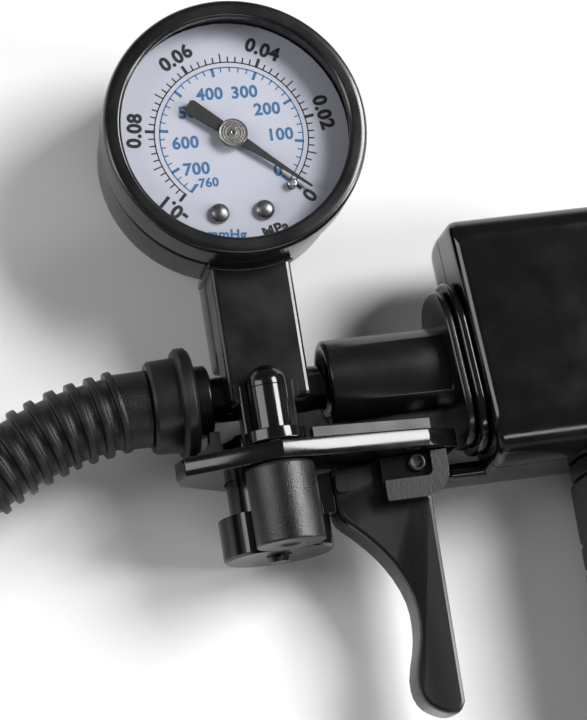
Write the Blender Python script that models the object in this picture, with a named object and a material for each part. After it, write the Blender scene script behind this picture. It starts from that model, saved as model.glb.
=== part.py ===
"""Hand vacuum pump of the pistol kind, lying on its back with its gauge facing up.

Frame: +X runs from the hose to the handle, +Y from the trigger to the gauge, and +Z away from
the surface the pump lies on. The origin is at the middle of its footprint. Lengths are in metres.
"""

import math

import bmesh
import bpy
from mathutils import Matrix

MM = 0.001

# ---- Where things are -------------------------------------------------------------------------
PUMP_X = -34.35 * MM          # column of the pump cylinder, its cup, the release knob and the dome
HOSE_Y = 12.3 * MM            # line of hose and manifold
BARREL_Y = 13.0 * MM          # line of barrel, flanges and exhaust
HOSE_Z = 16.0 * MM
GAUGE_X = PUMP_X + 1.2 * MM   # gauge and neck stand a little to the right of that column
PUMP_Z = 13.0 * MM            # axis of the pump cylinder, which runs along Y
PLATE_TOP_Y = -0.2 * MM
NECK_FOOT_Y = 9.3 * MM
NECK_TOP_Y = 36.9 * MM        # lowest point of the gauge case
PIVOT_X = -6.8 * MM
PIVOT_Y = -5.8 * MM

# ---- Clearances -------------------------------------------------------------------------------
GAP = 0.3 * MM                # between pieces that touch
RUNNING = 0.15 * MM           # between a shaft and its hole
CUT_OVER = 2.0 * MM           # how far a cutter passes the face it cuts

# ---- Gauge ------------------------------------------------------------------------------------
CASE_RADIUS = 24.6 * MM
CASE_BACK_Z = 8.0 * MM
CASE_DEPTH = 22.0 * MM
CASE_WALL = 1.3 * MM
BEZEL_WIDTH = 1.0 * MM        # how far the bezel stands out past the case
BEZEL_LENGTH = 8.0 * MM
BEZEL_LIP = 1.8 * MM
BEZEL_INSET = 2.5 * MM        # from the case's outside in to the window's edge
LENS_THICKNESS = 1.5 * MM
DIAL_Z = 26.4 * MM
DIAL_THICKNESS = 0.6 * MM
POINTER_REST_DEG = -41.0
POINTER_TAIL = 10.4 * MM
POINTER_THICKNESS = 0.5 * MM
HUB_RADIUS = 2.9 * MM
ARBOR_RADIUS = 0.8 * MM
STEM_RADIUS = 3.6 * MM
BOURDON_TUBE = 1.6 * MM

# ---- Neck and manifold ------------------------------------------------------------------------
NECK_WIDTH = 15.8 * MM
NECK_BACK_Z = 7.0 * MM
NECK_FRONT_Z = 25.0 * MM
NECK_REAR_FOOT = 9.5 * MM     # the rear skin ends this much higher than the front one
MANIFOLD_RADIUS = 4.4 * MM
MANIFOLD_BORE = 2.0 * MM
MANIFOLD_LENGTH = 22.0 * MM

# ---- Hose fitting -----------------------------------------------------------------------------
BARB_RING_RADIUS = 7.05 * MM
BARB_RING_WIDTH = 3.0 * MM
BARB_RADIUS = 4.6 * MM
NUT_RADIUS = 10.9 * MM
NUT_RIM_WIDTH = 3.0 * MM
NUT_SKIRT_RADIUS = 9.0 * MM
NUT_SKIRT_WIDTH = 5.4 * MM
CUFF_RADIUS = 7.5 * MM
CUFF_LENGTH = 5.9 * MM
HOSE_DIAMETER = 15.2 * MM

# ---- Plate, release valve ---------------------------------------------------------------------
PLATE_THICKNESS = 3.6 * MM
DECK_HEIGHT = 2.4 * MM
KNOB_RADIUS = 6.6 * MM
KNOB_LENGTH = 15.1 * MM
DOME_RADIUS = 3.7 * MM
DOME_HEIGHT = 15.6 * MM
DOME_FLANGE_RADIUS = 5.9 * MM
DOME_FLANGE_HEIGHT = 2.4 * MM
RELEASE_STEM_RADIUS = 1.6 * MM
COLUMN_WIDTH = 10.4 * MM

# ---- Pump -------------------------------------------------------------------------------------
CYLINDER_RADIUS = 8.2 * MM
CYLINDER_BORE = 6.2 * MM
CYLINDER_FOOT_Y = -16.9 * MM
CUP_WALL = 2.25 * MM
CUP_HEIGHT = 8.2 * MM
CUP_FLOOR = 1.6 * MM
PISTON_LENGTH = 4.0 * MM
ROD_RADIUS = 1.8 * MM
SPRING_WIRE = 0.45 * MM
SPRING_TURNS = 6
VALVE_RADIUS = 3.0 * MM
VALVE_LIFT = 0.9 * MM
PUMP_KNOB_GAP = 0.5 * MM

# ---- Trigger ----------------------------------------------------------------------------------
TRIGGER_BACK_Z = 10.5 * MM
TRIGGER_FRONT_Z = 19.5 * MM
TRIGGER_HUB_RADIUS = 4.3 * MM
NOTCH_Z = 16.7 * MM           # the nose is cut back in front of this for the cup's ear
PIN_RADIUS = 1.3 * MM
PIN_HEAD_RADIUS = 1.75 * MM
EAR_THICKNESS = 2.0 * MM
EAR_GAP = 0.5 * MM

# ---- Barrel and flanges -----------------------------------------------------------------------
BARREL_LEFT_X = -21.15 * MM
BARREL_RADIUS = 8.3 * MM
BARREL_WALL = 1.5 * MM
FLANGE_LEFT_X = 1.0 * MM
FLANGE_THICKNESS = 1.8 * MM
FLANGE_HEIGHT = 31.0 * MM
FLANGE_DEPTH = 21.2 * MM
FLANGE_CORNER = 10.4 * MM
FLANGE_Z = 18.0 * MM
FLANGE_STEP = 1.4 * MM        # how far the housing flange stands out past the barrel flange
EXHAUST_RADIUS = 3.4 * MM

# ---- Housing and handle -----------------------------------------------------------------------
HOUSING_LENGTH = 56.55 * MM
HOUSING_TOP_Y = 39.2 * MM
HOUSING_FOOT_Y = -8.5 * MM
HOUSING_DEPTH = 32.0 * MM
HOUSING_SEAM_Z = 20.0 * MM
HOUSING_WALL = 2.4 * MM
HOUSING_SIDE_WALL = 9.0 * MM
HOUSING_BACK_ROUND = 14.0 * MM
HEEL_LENGTH = 7.0 * MM        # how far the heel at the housing's foot runs under the flanges
RAKE = math.tan(math.radians(3.5))   # lean of the flanges and of the housing's left end
HANDLE_LEFT_X = 25.9 * MM
HANDLE_WIDTH = 30.0 * MM
HANDLE_DEPTH = 26.0 * MM
HANDLE_FOOT_Y = -87.1 * MM
BUTT_CAP_HEIGHT = 5.0 * MM
SLEEVE_WALL = 2.2 * MM
SCREW_RADIUS = 1.25 * MM
SCREW_HEAD_RADIUS = 2.5 * MM
SCREW_HEAD_HEIGHT = 1.6 * MM

# ---- Facets -----------------------------------------------------------------------------------
ROUND = 36
SMALL_ROUND = 20
ARC_STEPS = 5

# ---- Worked out from the sizes above ----------------------------------------------------------
GAUGE_Y = NECK_TOP_Y + CASE_RADIUS
CASE_FRONT_Z = CASE_BACK_Z + CASE_DEPTH
LENS_BACK_Z = CASE_FRONT_Z + GAP
BEZEL_RADIUS = CASE_RADIUS + BEZEL_WIDTH
WINDOW_RADIUS = CASE_RADIUS - BEZEL_INSET
DIAL_SCREW_RADIUS = CASE_RADIUS - 8.6 * MM
STOP_PIN_RADIUS = CASE_RADIUS - 9.6 * MM
MOVEMENT_REACH = CASE_RADIUS - 6.1 * MM
BOURDON_RADIUS = CASE_RADIUS - 10.1 * MM
POINTER_LENGTH = CASE_RADIUS - 6.2 * MM
BEZEL_FRONT_Z = LENS_BACK_Z + LENS_THICKNESS + GAP + BEZEL_LIP
DIAL_FRONT_Z = DIAL_Z + DIAL_THICKNESS
PLATE_FOOT_Y = PLATE_TOP_Y - PLATE_THICKNESS
KNOB_Z = PUMP_Z + CYLINDER_RADIUS + PUMP_KNOB_GAP + KNOB_RADIUS
KNOB_TOP_Y = PLATE_FOOT_Y - GAP
CUP_BORE = CYLINDER_RADIUS + GAP
CUP_RADIUS = CUP_BORE + CUP_WALL
CUP_FOOT_Y = CYLINDER_FOOT_Y - 0.5 * MM - CUP_FLOOR
CUP_TOP_Y = CUP_FOOT_Y + CUP_HEIGHT
CYLINDER_TOP_Y = HOSE_Y - BARB_RING_RADIUS - 0.5 * MM
NUT_RIGHT_X = PUMP_X - 12.8 * MM
NUT_LEFT_X = NUT_RIGHT_X - NUT_RIM_WIDTH - NUT_SKIRT_WIDTH
HOUSING_LEFT_X = FLANGE_LEFT_X + 2 * FLANGE_THICKNESS + 2 * GAP
HOUSING_RIGHT_X = HOUSING_LEFT_X + HOUSING_LENGTH
HANDLE_Z = HOUSING_DEPTH / 2
HANDLE_TOP_Y = HOUSING_FOOT_Y - GAP
BEHIND_TRIGGER_Z = TRIGGER_BACK_Z - EAR_GAP - EAR_THICKNESS
BEFORE_TRIGGER_Z = TRIGGER_FRONT_Z + EAR_GAP
EAR_LEFT_X = PIVOT_X - 7.0 * MM
EAR_RIGHT_X = PIVOT_X + 5.8 * MM
EAR_FOOT_Y = PIVOT_Y - 7.0 * MM

# The hose's route, in millimetres: out of the nut, down onto the surface, and round below the pump.
HOSE_ROUTE = [
    (-63.5, 12.0, 16.0), (-69.5, 10.9, 15.9), (-75.4, 9.2, 15.6), (-86.2, 4.4, 14.8),
    (-96.2, -2.4, 13.5), (-104.8, -10.8, 12.0), (-111.8, -20.6, 10.5), (-117.2, -31.4, 9.2),
    (-120.8, -43.0, 8.4), (-122.7, -55.0, 8.1), (-122.6, -67.0, 8.1), (-120.6, -79.0, 8.1),
    (-116.9, -90.4, 8.1), (-111.2, -101.0, 8.1), (-104.0, -110.6, 8.1), (-95.2, -119.0, 8.1),
    (-85.2, -125.8, 8.1), (-74.2, -131.0, 8.1), (-62.6, -134.4, 8.1), (-50.6, -136.2, 8.1),
    (-38.4, -136.8, 8.1), (-24.0, -136.6, 8.1), (-9.6, -136.1, 8.1), (4.8, -135.7, 8.1),
    (19.0, -135.5, 8.1), (33.0, -135.5, 8.1),
]
HOSE_POINT_STEPS = 2          # drawn stretches between two of the route's points


# ---- Scene and materials ----------------------------------------------------------------------
def clear_scene():
    for obj in list(bpy.data.objects):
        bpy.data.objects.remove(obj)


def material(name, colour, roughness, metallic=0.0):
    made = bpy.data.materials.new(name)
    made.use_nodes = True
    shader = made.node_tree.nodes["Principled BSDF"]
    shader.inputs["Base Color"].default_value = (*colour, 1.0)
    shader.inputs["Roughness"].default_value = roughness
    shader.inputs["Metallic"].default_value = metallic
    return made


FINISHES = {
    "gloss black": ((0.012, 0.012, 0.014), 0.16, 0.0),
    "satin black": ((0.016, 0.016, 0.018), 0.38, 0.0),
    "grained black": ((0.03, 0.03, 0.032), 0.55, 0.0),
    "rubber": ((0.02, 0.02, 0.021), 0.7, 0.0),
    "steel": ((0.55, 0.55, 0.56), 0.3, 1.0),
    "brass": ((0.72, 0.53, 0.26), 0.32, 1.0),
    "dial white": ((0.86, 0.87, 0.93), 0.5, 0.0),
    "clear": ((0.95, 0.97, 1.0), 0.05, 0.0),
    "ivory plastic": ((0.75, 0.73, 0.68), 0.45, 0.0),
    "foam": ((0.12, 0.12, 0.13), 0.95, 0.0),
}


def add_object(name, mesh, finish):
    """Put a mesh in the scene under its node's name, with its own material."""
    obj = bpy.data.objects.new(name, mesh)
    bpy.context.scene.collection.objects.link(obj)
    mesh.materials.append(material(name + " " + finish, *FINISHES[finish]))
    mesh.shade_smooth()
    mesh.set_sharp_from_angle(angle=math.radians(30))
    return obj


def mesh_from(name, points, faces):
    """Mesh with merged points and its faces turned outwards."""
    mesh = bpy.data.meshes.new(name)
    mesh.from_pydata(points, [], faces)
    work = bmesh.new()
    work.from_mesh(mesh)
    bmesh.ops.recalc_face_normals(work, faces=work.faces)
    work.to_mesh(mesh)
    work.free()
    return mesh


# ---- Shapes -----------------------------------------------------------------------------------
def place(axis, along, u, v):
    """Point at (u, v) across an axis and `along` it; u, v are the other two axes in X, Y, Z order."""
    return {"X": (along, u, v), "Y": (u, along, v), "Z": (u, v, along)}[axis]


def prism_mesh(name, outline, start, end, axis):
    count = len(outline)
    points = [place(axis, start, u, v) for u, v in outline]
    points += [place(axis, end, u, v) for u, v in outline]
    faces = [tuple(range(count)), tuple(range(2 * count - 1, count - 1, -1))]
    faces += [(i, (i + 1) % count, count + (i + 1) % count, count + i) for i in range(count)]
    return mesh_from(name, points, faces)


def prism(name, outline, start, end, axis, finish="satin black"):
    return add_object(name, prism_mesh(name, outline, start, end, axis), finish)


def turned_mesh(name, profile, centre, axis, steps, closed):
    """Turn a profile of (along, radius) about an axis through `centre`, its (u, v) across the axis.

    An open profile starts and ends on the axis, a closed one is a ring and never meets it.
    """
    points, rings = [], []
    for along, radius in profile:
        if radius == 0:
            rings.append([len(points)] * steps)
            points.append(place(axis, along, *centre))
            continue
        rings.append(list(range(len(points), len(points) + steps)))
        for i in range(steps):
            angle = 2 * math.pi * i / steps
            u = centre[0] + radius * math.cos(angle)
            v = centre[1] + radius * math.sin(angle)
            points.append(place(axis, along, u, v))
    pairs = list(zip(rings, rings[1:]))
    if closed:
        pairs.append((rings[-1], rings[0]))
    faces = []
    for low, high in pairs:
        for i in range(steps):
            j = (i + 1) % steps
            corners = dict.fromkeys((low[i], low[j], high[j], high[i]))
            faces.append(tuple(corners))
    return mesh_from(name, points, faces)


def turned(name, profile, centre, axis, finish, steps=ROUND, closed=False):
    return add_object(name, turned_mesh(name, profile, centre, axis, steps, closed), finish)


def ring_profile(start, end, inner, outer):
    return [(start, inner), (start, outer), (end, outer), (end, inner)]


def rod_profile(start, end, radius, edge=0.0):
    """Solid rod, with both ends chamfered by `edge`."""
    if edge == 0:
        return [(start, 0), (start, radius), (end, radius), (end, 0)]
    inward = edge if end > start else -edge
    return [
        (start, 0), (start, radius - edge), (start + inward, radius),
        (end - inward, radius), (end, radius - edge), (end, 0),
    ]


def rounded(corners, steps=ARC_STEPS):
    """Outline with each corner (u, v, radius) drawn as an arc that touches its two sides."""
    outline = []
    count = len(corners)
    for i, (u, v, radius) in enumerate(corners):
        if radius == 0:
            outline.append((u, v))
            continue
        before, after = corners[i - 1], corners[(i + 1) % count]
        to_before = (before[0] - u, before[1] - v)
        to_after = (after[0] - u, after[1] - v)
        a = math.atan2(to_before[1], to_before[0])
        b = math.atan2(to_after[1], to_after[0])
        half = ((b - a + math.pi) % (2 * math.pi) - math.pi) / 2
        reach = radius / abs(math.sin(half))
        middle = a + half
        cu, cv = u + reach * math.cos(middle), v + reach * math.sin(middle)
        sweep = math.copysign(math.pi - 2 * abs(half), half)
        first = a - math.copysign(math.pi / 2, half)
        for step in range(steps + 1):
            angle = first - sweep * step / steps
            outline.append((cu + radius * math.cos(angle), cv + radius * math.sin(angle)))
    return outline


def rounded_box(u0, u1, v0, v1, radius, steps=ARC_STEPS):
    return rounded([(u0, v0, radius), (u1, v0, radius), (u1, v1, radius), (u0, v1, radius)], steps)


def through(points, steps):
    """Smooth curve through every point (Catmull-Rom), with `steps` stretches between two points."""
    drawn = []
    for i in range(len(points) - 1):
        p0 = points[max(i - 1, 0)]
        p1, p2 = points[i], points[i + 1]
        p3 = points[min(i + 2, len(points) - 1)]
        for step in range(steps):
            t = step / steps
            weights = (
                (-t + 2 * t**2 - t**3) / 2, (2 - 5 * t**2 + 3 * t**3) / 2,
                (t + 4 * t**2 - 3 * t**3) / 2, (-(t**2) + t**3) / 2,
            )
            rows = zip(p0, p1, p2, p3)
            drawn.append(tuple(sum(w * c for w, c in zip(weights, row)) for row in rows))
    drawn.append(tuple(points[-1]))
    return drawn


def tube_along(name, points, radius, finish, bevel_resolution=2):
    """Round bar along a run of points, with filled ends."""
    curve = bpy.data.curves.new(name, "CURVE")
    curve.dimensions = "3D"
    curve.bevel_depth = radius
    curve.bevel_resolution = bevel_resolution
    curve.use_fill_caps = True
    spline = curve.splines.new("POLY")
    spline.points.add(len(points) - 1)
    for point, co in zip(spline.points, points):
        point.co = (*co, 1.0)
    curve.materials.append(material(name + " " + finish, *FINISHES[finish]))
    obj = bpy.data.objects.new(name, curve)
    bpy.context.scene.collection.objects.link(obj)
    return obj


# ---- Changes to shapes ------------------------------------------------------------------------
def hide(obj):
    obj.hide_render = True
    obj.display_type = "WIRE"


def boolean(target, tool, operation):
    hide(tool)
    step = target.modifiers.new(tool.name, "BOOLEAN")
    step.operation = operation
    step.object = tool
    step.solver = "EXACT"


def cut(target, tool):
    boolean(target, tool, "DIFFERENCE")


def join(target, tool):
    boolean(target, tool, "UNION")


def hole(targets, name, centre, axis, start, end, radius, steps=SMALL_ROUND):
    tool = turned(name, rod_profile(start, end, radius), centre, axis, "satin black", steps)
    for target in targets:
        cut(target, tool)


def bevel(obj, width, segments=2, angle=35):
    step = obj.modifiers.new("edge", "BEVEL")
    step.width = width
    step.segments = segments
    step.limit_method = "ANGLE"
    step.angle_limit = math.radians(angle)
    step.use_clamp_overlap = True


def lean(obj, left_of):
    """Slant every point left of `left_of` to the rake, measured down from the housing's top."""
    for vertex in obj.data.vertices:
        if vertex.co.x < left_of:
            vertex.co.x += RAKE * (HOUSING_TOP_Y - vertex.co.y)
    obj.data.update()


# ---- Housing and handle -----------------------------------------------------------------------
def housing_section(inset):
    """Cross-section (y, z) of the housing: flat front, deep round at the top of its back."""
    front, back = HOUSING_DEPTH - inset, inset
    top, foot = HOUSING_TOP_Y - inset, HOUSING_FOOT_Y + inset
    least = 0.6 * MM
    return rounded([
        (foot, back, max(3.0 * MM - inset, least)),
        (foot, front, max(9.5 * MM - inset, least)),
        (top, front, max(4.5 * MM - inset, least)),
        (top, back, max(18.0 * MM - inset, least)),
    ], 6)


def half_housing(name, low_z, high_z):
    middle = (HOUSING_LEFT_X + HOUSING_RIGHT_X) / 2
    half = prism(name, housing_section(0), HOUSING_LEFT_X - CUT_OVER / 2,
                 HOUSING_RIGHT_X + CUT_OVER / 2, "X", "gloss black")
    lean(half, middle)
    keep = rounded_box(
        HOUSING_LEFT_X - CUT_OVER, HOUSING_RIGHT_X + CUT_OVER,
        HOUSING_FOOT_Y - CUT_OVER, HOUSING_TOP_Y + CUT_OVER, 0.5 * MM, 1,
    )
    boolean(half, prism("cut_" + name, keep, low_z, high_z, "Z"), "INTERSECT")
    round_back = prism("cut_round_" + name, rounded([
        (HOUSING_LEFT_X, -GAP, HOUSING_BACK_ROUND), (HOUSING_RIGHT_X, -GAP, 7.0 * MM),
        (HOUSING_RIGHT_X, HOUSING_DEPTH + GAP, 1.5 * MM),
        (HOUSING_LEFT_X, HOUSING_DEPTH + GAP, 1.5 * MM),
    ], 7), HOUSING_FOOT_Y - CUT_OVER, HOUSING_TOP_Y + CUT_OVER, "Y")
    lean(round_back, middle)
    boolean(half, round_back, "INTERSECT")
    pocket = prism(
        "cut_pocket_" + name, housing_section(HOUSING_WALL),
        HOUSING_LEFT_X + HOUSING_SIDE_WALL, HOUSING_RIGHT_X - HOUSING_SIDE_WALL, "X",
    )
    cut(half, pocket)
    return half


def screw_places():
    """Middle (x, y) of each housing screw, in the thick side walls clear of the round back."""
    inset = HOUSING_SIDE_WALL / 2
    low_y = HOUSING_FOOT_Y + 5.5 * MM
    high_y = HOUSING_TOP_Y - 18.8 * MM
    left = HOUSING_LEFT_X + inset + RAKE * (HOUSING_TOP_Y - low_y)
    return [(x, y) for x in (left, HOUSING_RIGHT_X - inset) for y in (low_y, high_y)]


def build_housing():
    front = half_housing("housing_front", HOUSING_SEAM_Z + GAP / 2, HOUSING_DEPTH + CUT_OVER)
    rear = half_housing("housing_rear", -CUT_OVER, HOUSING_SEAM_Z - GAP / 2)
    heel_left = HOUSING_LEFT_X + RAKE * (HOUSING_TOP_Y - HOUSING_FOOT_Y) - HEEL_LENGTH
    flange_foot = BARREL_Y - 1.0 * MM - FLANGE_HEIGHT / 2 - FLANGE_STEP
    heel_right, heel_foot = heel_left + 16.0 * MM, HOUSING_FOOT_Y + 0.2 * MM
    heel = prism("join_heel", rounded([
        (heel_left, heel_foot, 1.2 * MM), (heel_right, heel_foot, 0),
        (heel_right, flange_foot - GAP, 0), (heel_left, flange_foot - GAP, 1.2 * MM),
    ], 3), 0.6 * MM, 13.0 * MM, "Z")
    join(rear, heel)
    head_z = 8.0 * MM
    tip_z = HOUSING_SEAM_Z + 6.0 * MM
    for number, (x, y) in enumerate(screw_places(), 1):
        name = f"housing_screw_{number}"
        add_screw(name, (x, y), "Z", head_z, tip_z)
        hole([rear], "cut_head_" + name, (x, y), "Z", -CUT_OVER,
             head_z + SCREW_HEAD_HEIGHT + GAP, SCREW_HEAD_RADIUS + GAP)
        hole([front, rear], "cut_" + name, (x, y), "Z", -CUT_OVER, tip_z + GAP,
             SCREW_RADIUS + GAP)
    port_end = HOUSING_LEFT_X + HOUSING_SIDE_WALL + CUT_OVER
    hole([front, rear], "cut_exhaust_port", (BARREL_Y, HOSE_Z), "X", FLANGE_LEFT_X, port_end,
         EXHAUST_RADIUS + GAP)
    filter_left = HOUSING_LEFT_X + HOUSING_SIDE_WALL + 6.0 * MM
    turned("exhaust_filter", ring_profile(filter_left, filter_left + 18.0 * MM, 3.0 * MM, 8.0 * MM),
           (BARREL_Y, HOSE_Z), "X", "foam", SMALL_ROUND, True)
    slot_pitch = 3.4 * MM
    for number in range(5):
        y = BARREL_Y + (number - 2) * slot_pitch
        slot = prism(f"cut_vent_{number}", rounded_box(y - 0.6 * MM, y + 0.6 * MM, 5.0 * MM,
                     HOUSING_SEAM_Z - 4.0 * MM, 0.5 * MM, 2),
                     HOUSING_RIGHT_X - HOUSING_SIDE_WALL - CUT_OVER, HOUSING_RIGHT_X + CUT_OVER, "X")
        cut(rear, slot)


def add_screw(name, centre, axis, head_start, tip):
    """Pan-head screw: head at `head_start`, shank to `tip`, driven along the axis."""
    way = 1 if tip > head_start else -1
    head_end = head_start + way * SCREW_HEAD_HEIGHT
    socket = head_start + way * 0.6 * SCREW_HEAD_HEIGHT
    profile = [
        (socket, 0), (socket, 0.9 * MM), (head_start, 0.9 * MM),
        (head_start, SCREW_HEAD_RADIUS - 0.5 * MM), (head_start + way * 0.5 * MM, SCREW_HEAD_RADIUS),
        (head_end, SCREW_HEAD_RADIUS), (head_end, SCREW_RADIUS), (tip, SCREW_RADIUS), (tip, 0),
    ]
    return turned(name, profile, centre, axis, "steel", SMALL_ROUND)


def handle_outline(inset):
    half = HANDLE_DEPTH / 2
    return rounded_box(
        HANDLE_LEFT_X + inset, HANDLE_LEFT_X + HANDLE_WIDTH - inset,
        HANDLE_Z - half + inset, HANDLE_Z + half - inset, 9.0 * MM - inset,
    )


def build_handle():
    cap_top = HANDLE_FOOT_Y + BUTT_CAP_HEIGHT
    sleeve_inset = SLEEVE_WALL + GAP
    core = prism("handle_core", handle_outline(sleeve_inset), cap_top + GAP, HANDLE_TOP_Y, "Y",
                 "satin black")
    collar_foot = HANDLE_TOP_Y - 3.0 * MM
    collar = prism("join_collar", handle_outline(0.2 * MM), collar_foot, HANDLE_TOP_Y, "Y")
    join(core, collar)
    sleeve = prism("grip_sleeve", handle_outline(0), cap_top + GAP, collar_foot - GAP, "Y", "rubber")
    bevel(sleeve, 0.8 * MM, 2, 60)
    cut(sleeve, prism("cut_sleeve", handle_outline(SLEEVE_WALL), HANDLE_FOOT_Y, HANDLE_TOP_Y, "Y"))
    cap = prism("butt_cap", handle_outline(-0.8 * MM), HANDLE_FOOT_Y, cap_top, "Y", "gloss black")
    bevel(cap, 1.2 * MM, 2, 60)
    middle = (HANDLE_LEFT_X + HANDLE_WIDTH / 2, HANDLE_Z)
    head_y = HANDLE_FOOT_Y + 1.0 * MM
    tip_y = cap_top + 14.0 * MM
    add_screw("butt_screw", middle, "Y", head_y, tip_y)
    hole([cap], "cut_butt_head", middle, "Y", HANDLE_FOOT_Y - CUT_OVER,
         head_y + SCREW_HEAD_HEIGHT + GAP, SCREW_HEAD_RADIUS + GAP)
    hole([cap, core], "cut_butt_shank", middle, "Y", HANDLE_FOOT_Y - CUT_OVER, tip_y + GAP,
         SCREW_RADIUS + GAP)


# ---- Barrel, flanges and exhaust valve --------------------------------------------------------
def flange_outline(margin):
    half_y, half_z = FLANGE_HEIGHT / 2 + margin, FLANGE_DEPTH / 2 + margin
    y = BARREL_Y - 1.0 * MM
    return rounded_box(y - half_y, y + half_y, FLANGE_Z - half_z, FLANGE_Z + half_z,
                       FLANGE_CORNER + margin)


def build_barrel():
    barrel_flange = prism("barrel_flange", flange_outline(0), FLANGE_LEFT_X,
                          FLANGE_LEFT_X + FLANGE_THICKNESS, "X", "satin black")
    second = FLANGE_LEFT_X + FLANGE_THICKNESS + GAP
    housing_flange = prism("housing_flange", flange_outline(FLANGE_STEP), second,
                           second + FLANGE_THICKNESS, "X", "gloss black")
    for flange in (barrel_flange, housing_flange):
        lean(flange, HOUSING_LEFT_X + FLANGE_THICKNESS)
        bevel(flange, 0.35 * MM, 2, 60)
    barrel_end = FLANGE_LEFT_X - GAP
    wall_end = BARREL_LEFT_X + 2.0 * MM
    barrel = turned("barrel", [
        (BARREL_LEFT_X, MANIFOLD_BORE), (BARREL_LEFT_X, BARREL_RADIUS - 0.5 * MM),
        (BARREL_LEFT_X + 0.5 * MM, BARREL_RADIUS), (barrel_end, BARREL_RADIUS),
        (barrel_end, BARREL_RADIUS - BARREL_WALL), (wall_end, BARREL_RADIUS - BARREL_WALL),
        (wall_end, MANIFOLD_BORE),
    ], (BARREL_Y, HOSE_Z), "X", "satin black", ROUND, True)
    for vertex in barrel.data.vertices:
        if vertex.co.x > wall_end + CUT_OVER:
            vertex.co.x += RAKE * (HOUSING_TOP_Y - vertex.co.y)
    tube_left = FLANGE_LEFT_X + RAKE * (HOUSING_TOP_Y - BARREL_Y) - 7.0 * MM
    tube_right = HOUSING_LEFT_X + HOUSING_SIDE_WALL + 3.0 * MM
    turned("exhaust_tube", ring_profile(tube_left, tube_right, EXHAUST_RADIUS - 1.2 * MM,
           EXHAUST_RADIUS), (BARREL_Y, HOSE_Z), "X", "steel", SMALL_ROUND, True)
    hole([barrel_flange, housing_flange], "cut_flange_bore", (BARREL_Y, HOSE_Z), "X",
         FLANGE_LEFT_X - CUT_OVER, HOUSING_LEFT_X + CUT_OVER * 2, EXHAUST_RADIUS + GAP)
    build_exhaust_valve(wall_end, tube_left)


def build_exhaust_valve(seat_x, tube_left):
    """Spring-loaded disc in the barrel that lets pumped air out and none back in."""
    disc_left = seat_x + GAP
    disc_right = disc_left + 1.2 * MM
    turned("exhaust_valve_disc", rod_profile(disc_left, disc_right, 4.6 * MM, 0.3 * MM),
           (BARREL_Y, HOSE_Z), "X", "rubber", SMALL_ROUND)
    start = disc_right + GAP + VALVE_LIFT
    spring_radius = 3.0 * MM
    coil("exhaust_spring", (BARREL_Y, HOSE_Z), "X", start, tube_left - GAP, spring_radius, 5)


def coil(name, centre, axis, start, end, radius, turns):
    """Helical spring about an axis: the point runs round while it moves evenly along."""
    per_turn = 10
    low = start + SPRING_WIRE
    high = end - SPRING_WIRE
    points = []
    for i in range(turns * per_turn + 1):
        angle = 2 * math.pi * i / per_turn
        along = low + (high - low) * i / (turns * per_turn)
        u = centre[0] + radius * math.cos(angle)
        v = centre[1] + radius * math.sin(angle)
        points.append(place(axis, along, u, v))
    return tube_along(name, points, SPRING_WIRE, "steel", 1)


# ---- Gauge ------------------------------------------------------------------------------------
def on_gauge(radius, degrees):
    """Place (x, y) on the gauge at a radius and an angle counter-clockwise from +X."""
    angle = math.radians(degrees)
    return GAUGE_X + radius * math.cos(angle), GAUGE_Y + radius * math.sin(angle)


def build_gauge_case():
    centre = (GAUGE_X, GAUGE_Y)
    floor = CASE_BACK_Z + CASE_WALL
    bore = CASE_RADIUS - CASE_WALL
    groove_z = CASE_FRONT_Z - BEZEL_LENGTH + 1.2 * MM
    case = turned("gauge_case", [
        (CASE_BACK_Z, 0), (CASE_BACK_Z, CASE_RADIUS - 1.5 * MM),
        (CASE_BACK_Z + 1.5 * MM, CASE_RADIUS), (groove_z - 2.2 * MM, CASE_RADIUS),
        (groove_z - 2.0 * MM, CASE_RADIUS - 0.5 * MM), (groove_z - 1.0 * MM, CASE_RADIUS - 0.5 * MM),
        (groove_z - 0.8 * MM, CASE_RADIUS), (CASE_FRONT_Z, CASE_RADIUS), (CASE_FRONT_Z, bore),
        (floor, bore), (floor, 0),
    ], centre, "Z", "gloss black", 48)
    hole([case], "cut_stem", (GAUGE_X, HOSE_Z), "Y", NECK_TOP_Y - CUT_OVER,
         NECK_TOP_Y + 4.0 * MM, STEM_RADIUS + GAP)
    lip_back = LENS_BACK_Z + LENS_THICKNESS + GAP
    skirt_back = CASE_FRONT_Z - BEZEL_LENGTH + 3.0 * MM
    turned("gauge_bezel", [
        (skirt_back, CASE_RADIUS + GAP), (skirt_back, BEZEL_RADIUS),
        (BEZEL_FRONT_Z - 0.7 * MM, BEZEL_RADIUS), (BEZEL_FRONT_Z, BEZEL_RADIUS - 0.7 * MM),
        (BEZEL_FRONT_Z, WINDOW_RADIUS + 0.6 * MM), (BEZEL_FRONT_Z - 1.0 * MM, WINDOW_RADIUS),
        (lip_back, WINDOW_RADIUS), (lip_back, CASE_RADIUS + GAP),
    ], centre, "Z", "gloss black", 48, True)
    turned("gauge_lens", rod_profile(LENS_BACK_Z, LENS_BACK_Z + LENS_THICKNESS, CASE_RADIUS),
           centre, "Z", "clear", 48)


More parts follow.
